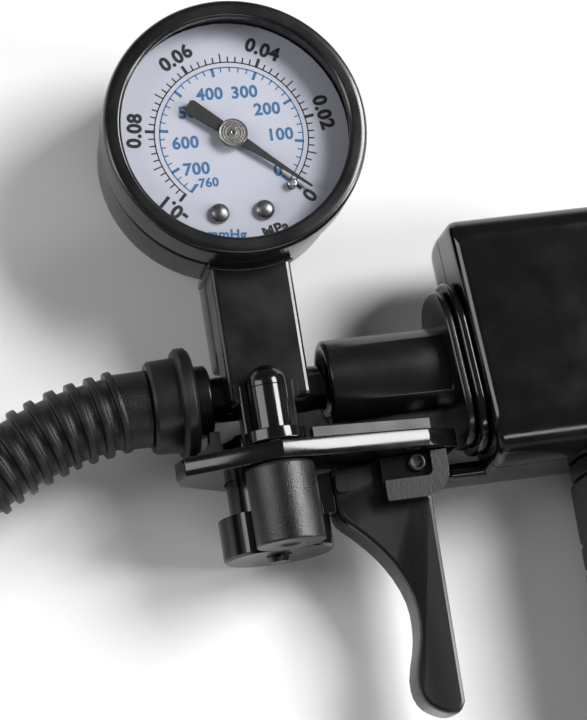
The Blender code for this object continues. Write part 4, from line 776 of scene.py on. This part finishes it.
# ---- Gauge ------------------------------------------------------------------------------------
@dataclass
class DialPrint:
    """Two printed scales: the outer one in MPa, the inner one in mmHg."""

    centre: Pair
    face: float
    thickness: float = 0.02 * MM
    zero_deg: float = -45.3
    sweep_deg: float = 270.0
    full_mpa: float = 0.1
    mmhg_per_mpa: float = 7500.0
    outer_arc: float = 15.05 * MM
    inner_arc: float = 14.0 * MM
    line: float = 0.25 * MM
    segments: int = 160

    def build(self) -> None:
        """Print both scales and their units."""
        self._outer_scale()
        self._inner_scale()

    def _degrees(self, mpa: float) -> float:
        """Angle of a reading on the outer scale."""
        return self.zero_deg + self.sweep_deg * mpa / self.full_mpa

    def _bar(self, degrees: float, start: float, end: float, width: float) -> Surface:
        """Thin block that lies along a radius: u runs outwards and v across."""
        block = np.array([(start, -width / 2), (end, -width / 2), (end, width / 2),
                          (start, width / 2)])
        a = math.radians(degrees)
        u, v = block[:, 0], block[:, 1]
        outline = np.stack([self.centre[0] + u * math.cos(a) - v * math.sin(a),
                            self.centre[1] + u * math.sin(a) + v * math.cos(a)], -1)
        return self._raised(outline)

    def _raised(self, outline: np.ndarray) -> Surface:
        """Outline as a film of ink on the dial's face."""
        rings = [Axis.Z.stack(np.array(self.face + h), outline[:, 0], outline[:, 1])
                 for h in (0.002 * MM, self.thickness)]
        return rings_surface(np.array(rings))

    def _band(self, radius: float, start: float, end: float) -> Surface:
        """Thin arc of ink, between two circles of nearly the same radius."""
        outer = arc(self.centre, radius + self.line / 2, start, end, self.segments)
        inner = arc(self.centre, radius - self.line / 2, end, start, self.segments)
        return self._raised(np.concatenate([outer, inner]))

    def _text(self, words: str, radius: float, degrees: float, turn_deg: float, height: float,
              weight: float) -> Surface:
        """Letters centred at a place on the dial and turned about it.

        Args:
            words: What is printed.
            radius: Distance of the word's middle from the dial's middle.
            degrees: Its bearing there.
            turn_deg: How far its baseline is turned from +X.
            height: Height of a digit.
            weight: How much each stroke is thickened.

        Returns:
            Points and faces.
        """
        curve = bpy.data.curves.new("print", "FONT")
        curve.body = words
        curve.align_x = "CENTER"
        curve.align_y = "CENTER"
        curve.size = height / 0.72
        curve.offset = weight
        curve.extrude = self.thickness / 2
        curve.resolution_u = 4
        curve.space_character = 1.06
        holder = bpy.data.objects.new("print", curve)
        bpy.context.scene.collection.objects.link(holder)
        bpy.context.view_layer.update()
        mesh = bpy.data.meshes.new_from_object(
            holder.evaluated_get(bpy.context.evaluated_depsgraph_get()))
        points = np.empty(len(mesh.vertices) * 3)
        mesh.vertices.foreach_get("co", points)
        points = points.reshape(-1, 3)
        faces = [list(face.vertices) for face in mesh.polygons]
        bpy.data.objects.remove(holder)
        bpy.data.curves.remove(curve)
        bpy.data.meshes.remove(mesh)
        turn, bearing = math.radians(turn_deg), math.radians(degrees)
        x = self.centre[0] + radius * math.cos(bearing)
        y = self.centre[1] + radius * math.sin(bearing)
        u, v = points[:, 0], points[:, 1]
        placed = np.stack([x + u * math.cos(turn) - v * math.sin(turn),
                           y + u * math.sin(turn) + v * math.cos(turn),
                           self.face + self.thickness / 2 + 0.004 * MM + points[:, 2]], -1)
        return placed, faces

    def _outer_scale(self) -> None:
        """Black ticks outside their arc, every 0.002, longer each 0.01 and bold each 0.02."""
        parts = [self._band(self.outer_arc, self.zero_deg, self.zero_deg + self.sweep_deg)]
        for step in range(51):
            degrees = self._degrees(step * 0.002)
            bold, long = step % 10 == 0, step % 5 == 0
            reach = 1.95 * MM if long else 1.3 * MM
            width = 0.62 * MM if bold else 0.27 * MM
            start = self.outer_arc - self.line / 2
            parts.append(self._bar(degrees, start, start + reach, width))
        for number, words in enumerate(("0", "0.02", "0.04", "0.06", "0.08", "-0.1")):
            degrees = self._degrees(number * 0.02)
            parts.append(self._text(words, 18.8 * MM, degrees, degrees - 90, 2.75 * MM, 0.16 * MM))
        parts.append(self._text("MPa", 20.4 * MM, -74.0, 14.0, 2.15 * MM, 0.13 * MM))
        add_piece("dial_print_black", joined(*parts), BLACK_INK, Body.FRAME, crease=20.0)

    def _inner_scale(self) -> None:
        """Blue ticks inside their arc, every 20, and bold each 100, up to 760."""
        per_unit = self.sweep_deg / (self.full_mpa * self.mmhg_per_mpa)
        zero = self.zero_deg - 1.0
        end = zero + 760 * per_unit
        parts = [self._band(self.inner_arc, zero, end)]
        for reading in list(range(0, 760, 20)) + [760]:
            degrees = zero + reading * per_unit
            bold = reading % 100 == 0 or reading == 760
            reach = 1.8 * MM if bold else 1.1 * MM
            outer = self.inner_arc + self.line / 2
            width = 0.58 * MM if bold else 0.24 * MM
            parts.append(self._bar(degrees, outer - reach, outer, width))
        places = ((0, 11.2, -45.0), (100, 9.5, -4.5), (200, 9.0, 31.0), (300, 9.3, 66.0),
                  (400, 9.3, 109.0), (500, 9.0, 142.0), (600, 9.2, -177.0), (700, 9.8, -143.0))
        for reading, radius_mm, degrees in places:
            parts.append(self._text(str(reading), radius_mm * MM, degrees, -1.5, 2.4 * MM,
                                    0.11 * MM))
        parts.append(self._text("-760", 10.9 * MM, -125.5, -1.0, 1.8 * MM, 0.09 * MM))
        parts.append(self._text("mmHg", 19.9 * MM, -101.5, -7.0, 1.95 * MM, 0.1 * MM))
        add_piece("dial_print_blue", joined(*parts), BLUE_INK, Body.FRAME, crease=20.0)


@dataclass
class Gauge:
    """Round gauge: case, bezel, window, dial, pointer and the works behind."""

    segments: int = 160

    def build(self) -> None:
        """Make the gauge's pieces."""
        case = round_of("gauge_case", Axis.Z)
        self.centre = case.centre
        self._case(case)
        self._bezel()
        self._window()
        self._hardware()
        smooth_copy("dial_plate", DIAL, Body.FRAME)
        DialPrint(self.centre, float(corners("dial_plate")[1][2])).build()
        dress(BRASS, "gauge_socket", "bourdon_tube", "movement_plate", "movement_link")

    def _case(self, case: Round) -> None:
        """Deep round pan with a rolled bead near its front."""
        back, front, r = case.low, case.high, case.radius
        wall = 1.3 * MM
        bead = front - 7.0 * MM
        profile = softened([
            (back, 0.0), (back, r - 1.8 * MM), (back + 1.8 * MM, r), (bead - 2.4 * MM, r),
            (bead - 2.2 * MM, r - 0.45 * MM), (bead - 0.8 * MM, r - 0.45 * MM),
            (bead - 0.6 * MM, r),
            (front, r), (front, r - wall), (back + wall, r - wall), (back + wall, 0.0)],
            [0, 0, 0, 0.3 * MM, 0.2 * MM, 0.2 * MM, 0.3 * MM, 0.2 * MM, 0.2 * MM, 0.5 * MM, 0])
        add_piece("case", turned(profile, self.centre, Axis.Z, self.segments), PAINT, Body.FRAME,
                  ["gauge_case"])

    def _bezel(self) -> None:
        """Ring with a rolled outer shoulder, a flat front and a bevelled inner edge."""
        bezel = round_of("gauge_bezel", Axis.Z)
        back, front, r = bezel.low, bezel.high, bezel.radius
        window = corners("gauge_lens")[1][0] - self.centre[0] - 2.5 * MM
        inner = r - 0.75 * MM
        lip = corners("gauge_lens")[1][2] + 0.3 * MM
        profile = softened([
            (back, inner), (back, r - 0.3 * MM), (back + 0.6 * MM, r), (front - 1.0 * MM, r),
            (front - 0.2 * MM, r - 0.45 * MM), (front, r - 1.2 * MM), (front, window + 0.5 * MM),
            (front - 0.5 * MM, window), (lip, window), (lip, inner)],
            [0.1 * MM, 0.2 * MM, 0.3 * MM, 0.5 * MM, 0.4 * MM, 0.4 * MM, 0.25 * MM, 0.25 * MM,
             0.1 * MM, 0.1 * MM], closed=True)
        add_piece("bezel", turned(profile, self.centre, Axis.Z, self.segments, looped=True), PAINT,
                  Body.FRAME, ["gauge_bezel"])

    def _window(self) -> None:
        """Clear disc with eased edges."""
        lens = round_of("gauge_lens", Axis.Z)
        profile = softened([(lens.low, 0.0), (lens.low, lens.radius), (lens.high, lens.radius),
                            (lens.high, 0.0)], 0.15 * MM)
        add_piece("window", turned(profile, self.centre, Axis.Z, self.segments), WINDOW, Body.FRAME,
                  ["gauge_lens"])

    def _hardware(self) -> None:
        """Pointer, its turned hub, the dial's screws and the stop pin."""
        smooth_copy("pointer", NEEDLE, Body.POINTER, 0.06 * MM)
        hub = round_of("pointer_hub", Axis.Z)
        top, r = hub.high, hub.radius
        foot = corners("pointer")[1][2] + 0.1 * MM
        rings = [(top - 0.12 * MM - 0.02 * MM * (i % 2), r * (0.9 - 0.09 * i)) for i in range(7)]
        outline = ([(hub.low, 0.0), (hub.low, 0.8 * MM), (foot, 0.8 * MM), (foot, r),
                    (top - 0.35 * MM, r), (top - 0.1 * MM, r - 0.25 * MM)] + rings
                   + [(top - 0.12 * MM, 0.55 * MM), (top, 0.5 * MM),
                      (top - 0.05 * MM, 0.28 * MM), (top - 0.6 * MM, 0.22 * MM),
                      (top - 0.6 * MM, 0.0)])
        add_piece("hub", turned(softened(outline, 0.06 * MM, steps=3), self.centre, Axis.Z),
                  TURNED, Body.POINTER, ["pointer_hub"], crease=45.0)
        for node in ("dial_screw_1", "dial_screw_2"):
            self._domed_screw(node)
        self._stop_pin()

    def _domed_screw(self, node: str) -> None:
        """Round-headed rivet screw: its head is a cap of a sphere on a short skirt."""
        screw = round_of(node, Axis.Z)
        foot = screw.high - 1.0 * MM
        angle = np.radians(np.linspace(0, 90, 12))
        dome = np.stack([foot + 0.25 * MM + 1.15 * MM * np.sin(angle),
                         screw.radius * np.cos(angle)], -1)
        stem = np.array([(screw.low, 0.0), (screw.low, 0.8 * MM), (foot, 0.8 * MM),
                         (foot, screw.radius)])
        add_piece(node + "_head", turned(np.concatenate([stem, dome]), screw.centre, Axis.Z, 64),
                  TURNED, Body.FRAME, [node])

    def _stop_pin(self) -> None:
        """Stout pin with a chamfered top."""
        pin = round_of("stop_pin", Axis.Z)
        low, high, r = pin.low, pin.high, pin.radius
        profile = softened([(low, 0.0), (low, r), (high - 0.9 * MM, r),
                            (high - 0.8 * MM, r + 0.3 * MM), (high - 0.2 * MM, r + 0.3 * MM),
                            (high, r), (high, 0.0)], 0.1 * MM)
        add_piece("stop", turned(profile, pin.centre, Axis.Z, 40), STEEL, Body.FRAME, ["stop_pin"])


# ---- Neck, manifold, barrel -------------------------------------------------------------------
@dataclass
class Neck:
    """Two moulded skins between gauge and manifold, and the pipe between hose and barrel."""

    edge: float = 1.1 * MM
    foot_corner: float = 1.3 * MM
    seat_gap: float = 0.3 * MM

    def build(self) -> None:
        """Make the neck's two skins and the manifold."""
        case = round_of("gauge_case", Axis.Z)
        gauge, seat = case.centre, case.radius + self.seat_gap
        smooth_copy("neck_front", SATIN, Body.FRAME, crease=8.0)
        low, high = corners("neck_rear")
        first = -90 - math.degrees(math.asin((gauge[0] - low[0]) / seat))
        last = -90 + math.degrees(math.asin((high[0] - gauge[0]) / seat))
        top = arc(gauge, seat, first, last, 40)
        corner_run = softened([(low[0], top[0][1]), (low[0], low[1]), (high[0], low[1]),
                               (high[0], top[-1][1])], self.foot_corner, steps=8)
        outline = np.concatenate([corner_run[1:-1], top[::-1]])
        add_piece("neck_back", slab(outline, low[2], high[2], self.edge, Axis.Z), GLOSS,
                  Body.FRAME, ["neck_rear"])
        smooth_copy("manifold", GLOSS, Body.FRAME)
        self._lip(gauge, seat, first, last)

    def _lip(self, gauge: Pair, seat: float, first: float, last: float) -> None:
        """Moulded lip round the neck's top: an arc of the seat's circle and one a little wider."""
        front = corners("neck_front")[1][2]
        near = arc(gauge, seat + 0.05 * MM, first, last, 32)
        far = arc(gauge, seat + 1.7 * MM, last, first, 32)
        outline = np.concatenate([near, far])
        add_piece("neck_lip", slab(outline, 9.5 * MM, front + 0.5 * MM, 0.4 * MM, Axis.Z), GLOSS,
                  Body.FRAME)


@dataclass
class Barrel:
    """Round barrel between the manifold and the housing, its two flanges and the exhaust valve."""

    wall: float = 1.5 * MM
    bore: float = 4.9 * MM
    flange_edge: float = 0.6 * MM
    flange_thickness: float = 1.8 * MM
    flange_corner: float = 13.0 * MM

    def build(self) -> None:
        """Make the barrel and its flanges."""
        barrel = round_of("barrel", Axis.X)
        low, high, r = barrel.low, barrel.high, barrel.radius
        profile = softened([
            (low + 1.6 * MM, self.bore), (low + 0.1 * MM, r - self.wall), (low, r - 0.7 * MM),
            (low + 0.5 * MM, r), (high - 0.9 * MM, r), (high, r), (high, self.bore)],
            [0.2 * MM, 0.2 * MM, 0.25 * MM, 0.25 * MM, 0.0, 0.1 * MM, 0.2 * MM], closed=True)
        points, faces = turned(profile, barrel.centre, Axis.X, 128, looped=True)
        lean = np.where(points[:, 0] > low + 0.9 * MM + 5 * MM, 1.0, 0.0)
        points[:, 0] -= lean * RAKE * (points[:, 1] - barrel.centre[0])
        add_piece("barrel_shell", (points, faces), SATIN, Body.FRAME, ["barrel"])
        self._flange("barrel_flange", "flange_front", SATIN)
        self._flange("housing_flange", "flange_back", GLOSS)
        smooth_copy("exhaust_tube", STEEL, Body.FRAME)
        dress(VALVE_RUBBER, "exhaust_valve_disc", "intake_valve_disc")
        dress(STEEL, "exhaust_spring")

    def _flange(self, node: str, name: str, finish: Finish) -> None:
        """Rounded plate across the barrel, leaning with the housing's end."""
        low, high = corners(node)
        outline = rounded_box(node, Axis.X, self.flange_corner)
        points, faces = slab(outline, low[0], low[0] + self.flange_thickness, self.flange_edge,
                             Axis.X)
        points[:, 0] += RAKE * (high[1] - points[:, 1])
        add_piece(name, (points, faces), finish, Body.FRAME, [node])


# ---- Housing and handle -----------------------------------------------------------------------
@dataclass
class Housing:
    """Boxy moulded housing in two halves, built up of level slices."""

    upright_edge: float = 2.4 * MM
    seam_edge: float = 0.35 * MM
    levels: int = 26

    def build(self) -> None:
        """Make both halves, the screws and the filter."""
        rear_low, rear_high = corners("housing_rear")
        front_low, front_high = corners("housing_front")
        self.left, self.right = front_low[0], rear_high[0]
        self.foot, self.top = front_low[1], front_high[1]
        self.depth = front_high[2]
        front = self._half(front_low[2], front_high[2])
        add_piece("housing_face", front, GLOSS, Body.FRAME, ["housing_front"], crease=50.0)
        rear = self._half(rear_low[2], rear_high[2])
        heel = self._heel(rear_low)
        add_piece("housing_back", joined(rear, heel), GLOSS, Body.FRAME, ["housing_rear"],
                  crease=50.0)
        for number in range(1, 5):
            smooth_copy(f"housing_screw_{number}", STEEL, Body.FRAME)
        dress(FOAM, "exhaust_filter")

    def _drop(self, z: np.ndarray, front_radius: float, back_radius: float) -> np.ndarray:
        """How far a side has drawn in at height z.

        Within a radius r of a face it is r - sqrt(r^2 - h^2), h being how far z is past the
        rounding's start, and elsewhere 0.
        """
        toward_back = np.clip(back_radius - z, 0, back_radius)
        toward_front = np.clip(z - (self.depth - front_radius), 0, front_radius)
        back = back_radius - np.sqrt(np.maximum(back_radius**2 - toward_back**2, 0))
        front = front_radius - np.sqrt(np.maximum(front_radius**2 - toward_front**2, 0))
        return back + front

    def _half(self, low: float, high: float) -> Surface:
        """One half: rounded rectangles whose four sides follow their own roundings."""
        share = (1 - np.cos(np.linspace(0, np.pi, self.levels))) / 2
        z = low + (high - low) * share
        left = self.left + self._drop(z, 1.8 * MM, 14.0 * MM)
        right = self.right - self._drop(z, 1.8 * MM, 7.0 * MM)
        foot = self.foot + self._drop(z, 8.5 * MM, 3.0 * MM)
        top = self.top - self._drop(z, 4.5 * MM, 18.0 * MM)
        rings = []
        for level in range(self.levels):
            near_seam = min(abs(z[level] - low), abs(z[level] - high)) < 0.02 * MM
            at_seam = near_seam and 1 * MM < z[level] < self.depth - 1 * MM
            draw = self.seam_edge if at_seam else 0.0
            corners_here = [(left[level] + draw, foot[level] + draw),
                            (right[level] - draw, foot[level] + draw),
                            (right[level] - draw, top[level] - draw),
                            (left[level] + draw, top[level] - draw)]
            outline = softened(corners_here, self.upright_edge, closed=True, steps=7)
            rings.append(Axis.Z.stack(np.array(z[level]), outline[:, 0], outline[:, 1]))
        points, faces = rings_surface(np.array(rings))
        middle_x = (self.left + self.right) / 2
        lean = np.clip((middle_x - points[:, 0]) / (middle_x - self.left), 0, 1)
        points[:, 0] += lean * RAKE * (self.top - points[:, 1])
        return points, faces

    def _heel(self, low: np.ndarray) -> Surface:
        """Foot of the rear half that runs on under the flanges."""
        flange_foot = corners("housing_flange")[0][1] - 0.3 * MM
        foot, end = self.foot + 0.2 * MM, low[0] + 14 * MM
        outline = softened([(low[0], foot), (end, foot), (end, flange_foot),
                            (low[0], flange_foot)], 1.6 * MM, closed=True)
        return slab(outline, 0.6 * MM, 13.0 * MM, 1.2 * MM, Axis.Z)


@dataclass
class Handle:
    """Handle below the housing: core, ribbed rubber sleeve and end cap."""

    corner: float = 9.0 * MM
    groove_pitch: float = 5.2 * MM
    groove_depth: float = 0.45 * MM

    def build(self) -> None:
        """Make the handle's pieces."""
        self._sleeve()
        low, high = corners("butt_cap")
        outline = rounded_box("butt_cap", Axis.Y, self.corner + 0.6 * MM)
        add_piece("end_cap", slab(outline, low[1], high[1], 1.4 * MM, Axis.Y), GLOSS, Body.FRAME,
                  ["butt_cap"])
        smooth_copy("handle_core", SATIN, Body.FRAME, 0.25 * MM)
        smooth_copy("butt_screw", STEEL, Body.FRAME)

    def _sleeve(self) -> None:
        """Rubber sleeve: one outline carried down it, drawn in by a cosine at each groove."""
        low, high = corners("grip_sleeve")
        outline = thinned(rounded_box("grip_sleeve", Axis.Y, self.corner))
        y = np.linspace(low[1], high[1], 150)
        from_end = np.minimum(y - low[1], high[1] - y)
        phase = (y - low[1] - 8 * MM) / self.groove_pitch
        inside = (phase > 0) & (y < high[1] - 8 * MM)
        wave = np.clip(1 - np.abs((phase % 1) - 0.5) / 0.16, 0, 1)
        depth = np.where(inside, self.groove_depth * np.sin(wave * np.pi / 2) ** 2, 0.0)
        r = 0.9 * MM
        rim = r - np.sqrt(np.maximum(r**2 - np.clip(r - from_end, 0, r) ** 2, 0))
        rings = [Axis.Y.stack(np.array(level), m[:, 0], m[:, 1])
                 for level, m in ((yy, inset(outline, float(d))) for yy, d in zip(y, depth + rim))]
        add_piece("grip", rings_surface(np.array(rings)), GRIP_RUBBER, Body.FRAME, ["grip_sleeve"],
                  crease=60.0)


# ---- Plate and release valve ------------------------------------------------------------------
@dataclass
class ReleaseValve:
    """Plate across the pump's column, with the release knob below it and the dome above."""

    def build(self) -> None:
        """Make the plate, the dome, its flange, the column and the knob."""
        plate = smooth_copy("body_plate", GLOSS, Body.FRAME, 0.25 * MM)
        second_finish(plate, COLLAR, Axis.Y, corners("dome_flange")[0][1] - 0.2 * MM, above=True)
        smooth_copy("valve_column", SATIN, Body.FRAME, 0.15 * MM)
        self._dome()
        self._knob()
        dress(STEEL, "release_stem")

    def _dome(self) -> None:
        """Round-topped post with a fine joint line, and the flange at its foot."""
        dome = round_of("release_dome", Axis.Y)
        r = dome.radius
        shoulder = dome.high - r
        angle = np.radians(np.linspace(0, 90, 24))
        cap = np.stack([shoulder + r * np.sin(angle), r * np.cos(angle)], -1)
        joint = shoulder - 0.6 * MM
        groove = [(joint - 0.1 * MM, r), (joint, r - 0.12 * MM), (joint + 0.1 * MM, r)]
        profile = np.concatenate([[(dome.low, 0.0), (dome.low, r)], groove, cap])
        add_piece("dome", turned(profile, dome.centre, Axis.Y), GLOSS, Body.FRAME,
                  ["release_dome"])
        collar = round_of("dome_flange", Axis.Y)
        low, high, wide = collar.low, collar.high, collar.radius
        profile = softened([(low, r + 0.1 * MM), (low, wide), (high - 0.1 * MM, wide),
                            (high, wide - 0.3 * MM), (high, r + 0.1 * MM)], 0.3 * MM, closed=True)
        add_piece("dome_collar", turned(profile, dome.centre, Axis.Y, looped=True), GLOSS,
                  Body.FRAME, ["dome_flange"])

    def _knob(self) -> None:
        """Textured knob with a rounded lower rim and a dished foot."""
        knob = round_of("release_knob", Axis.Y)
        foot, top, r = knob.low, knob.high, knob.radius
        profile = softened([
            (foot + 0.5 * MM, 0.0), (foot + 0.5 * MM, 2.0 * MM), (foot, 2.4 * MM),
            (foot, r), (top - 0.5 * MM, r + 0.02 * MM), (top, r - 0.4 * MM), (top, 0.0)],
            [0, 0.3 * MM, 0.3 * MM, 0.5 * MM, 0.3 * MM, 0.2 * MM, 0], steps=6)
        add_piece("knob", turned(profile, knob.centre, Axis.Y, 128), PEBBLED, Body.KNOB,
                  ["release_knob"])


# ---- Pump -------------------------------------------------------------------------------------
@dataclass
class Pump:
    """Cylinder, piston and the crosshead cup that the trigger pushes."""

    bore: float = 6.2 * MM
    port: float = 2.0 * MM

    def build(self) -> None:
        """Make the pump's pieces."""
        cylinder = round_of("pump_cylinder", Axis.Y)
        low, high, r, end = cylinder.low, cylinder.high, cylinder.radius, cylinder.high - 2.0 * MM
        profile = softened([
            (low, self.bore), (low, r - 0.3 * MM), (low + 0.3 * MM, r), (high - 1.0 * MM, r),
            (high, r - 1.0 * MM), (high, self.port), (end, self.port), (end, self.bore)],
            0.2 * MM, closed=True)
        add_piece("cylinder", turned(profile, cylinder.centre, Axis.Y, 128, looped=True), GLOSS,
                  Body.FRAME, ["pump_cylinder"])
        smooth_copy("piston_cup", GLOSS, Body.CROSSHEAD, 0.2 * MM)
        smooth_copy("cup_screw", SATIN, Body.CROSSHEAD)
        dress(IVORY, "piston")
        dress(VALVE_RUBBER, "piston_seal")
        dress(STEEL, "piston_rod", "return_spring")


# ---- Trigger ----------------------------------------------------------------------------------
@dataclass
class Trigger:
    """Finger lever, the two ears that carry it and its pin."""

    def build(self) -> None:
        """Make the lever, the brackets and the pin."""
        smooth_copy("trigger", LEVER, Body.TRIGGER, 0.12 * MM)
        tab = smooth_copy("trigger_bracket_front", TAB, Body.FRAME, 0.3 * MM)
        recess = corners("trigger_bracket_front")[1][2] - 1.5 * MM
        second_finish(tab, GLOSS, Axis.Z, recess, above=False)
        smooth_copy("trigger_bracket_rear", TAB, Body.FRAME, 0.2 * MM)
        smooth_copy("pin_clip", STEEL, Body.FRAME)
        self._pin()

    def _pin(self) -> None:
        """Pin with a ring-shaped rivet head."""
        pin = round_of("pivot_pin", Axis.Z)
        top, r = pin.high, pin.radius
        profile = softened([
            (pin.low, 0.0), (pin.low, 1.3 * MM), (top - 0.9 * MM, 1.3 * MM), (top - 0.9 * MM, r),
            (top - 0.25 * MM, r), (top, r - 0.3 * MM), (top, 1.1 * MM), (top - 0.5 * MM, 0.85 * MM),
            (top - 0.5 * MM, 0.0)], 0.15 * MM)
        add_piece("pin", turned(profile, pin.centre, Axis.Z, 64), BLUED, Body.FRAME, ["pivot_pin"])


# ---- Stage ------------------------------------------------------------------------------------
@dataclass
class Studio:
    """White table, an even sky and four soft boxes."""

    sky: float = 0.1
    key_power: float = 12.5
    rim_power: float = 3.4
    fill_power: float = 1.6
    foot_power: float = 1.0

    def build(self) -> None:
        """Add the table and the lights."""
        self._table()
        world = bpy.data.worlds.new("sky")
        world.use_nodes = True
        world.node_tree.nodes["Background"].inputs["Color"].default_value = (1.0, 1.0, 1.0, 1.0)
        world.node_tree.nodes["Background"].inputs["Strength"].default_value = self.sky
        bpy.context.scene.world = world
        self._soft_box("key box", (0.64, 0.27, 0.8), (0.0, 0.0, 0.0), (0.44, 0.44), self.key_power)
        self._soft_box("right box", (0.6, -0.12, 0.32), (0.0, 0.0, 0.02), (0.16, 0.4),
                       self.rim_power)
        self._soft_box("left box", (-0.55, 0.12, 0.36), (-0.03, 0.0, 0.02), (0.22, 0.5),
                       self.fill_power)
        self._soft_box("foot box", (0.12, -0.62, 0.45), (0.0, 0.0, 0.02), (0.6, 0.1),
                       self.foot_power)
        bpy.context.scene.view_settings.view_transform = "Standard"

    def _table(self) -> None:
        """Wide level sheet of white paper with its edges turned up in a gentle sweep."""
        side = np.linspace(-1.0, 1.0, 41)
        x, y = np.meshgrid(side * 1.6, side * 1.6, indexing="ij")
        away = np.maximum(np.abs(x), np.abs(y))
        z = 0.35 * np.clip((away - 1.2) / 0.4, 0, 1) ** 2
        points = np.stack([x, y, z], -1).reshape(-1, 3)
        i, j = np.meshgrid(np.arange(40), np.arange(40), indexing="ij")
        low = (i * 41 + j).ravel()
        faces = np.stack([low, low + 41, low + 42, low + 1], -1).tolist()
        table = add_piece("table", (points, faces), TABLE, None)
        table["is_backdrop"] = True

    def _soft_box(self, name: str, place: Triple, aim: Triple, size: Pair, power: float) -> None:
        """Rectangular area light that faces a point.

        Args:
            name: The light's name.
            place: Where it stands.
            aim: The point that it faces.
            size: Its width and height.
            power: Watts.
        """
        data = bpy.data.lights.new(name, "AREA")
        data.shape = "RECTANGLE"
        data.size, data.size_y = size
        data.energy = power
        light = bpy.data.objects.new(name, data)
        bpy.context.scene.collection.objects.link(light)
        light.location = place
        light.rotation_euler = (Vector(place) - Vector(aim)).to_track_quat("Z", "Y").to_euler()


def write_sizes() -> None:
    """Gather the CAD model's box and the finished model's box as plain lists; nothing is written.
    """
    boxes = {"cad": CAD_BOX, "visual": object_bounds()}
    plain = {name: [list(map(float, corner)) for corner in box] for name, box in boxes.items()}


def main() -> None:
    """Build the pump piece by piece, then its stage."""
    logging.basicConfig(level=logging.INFO, format="%(name)s %(message)s")
    Viewpoint().place()
    RibbedHose().build()
    for assembly in (HoseFitting(), Gauge(), Neck(), Barrel(), Housing(), Handle(), ReleaseValve(),
                     Pump(), Trigger(), Studio()):
        assembly.build()
        log.info("built %s", type(assembly).__name__)
    write_sizes()


if __name__ == "__main__":
    main()
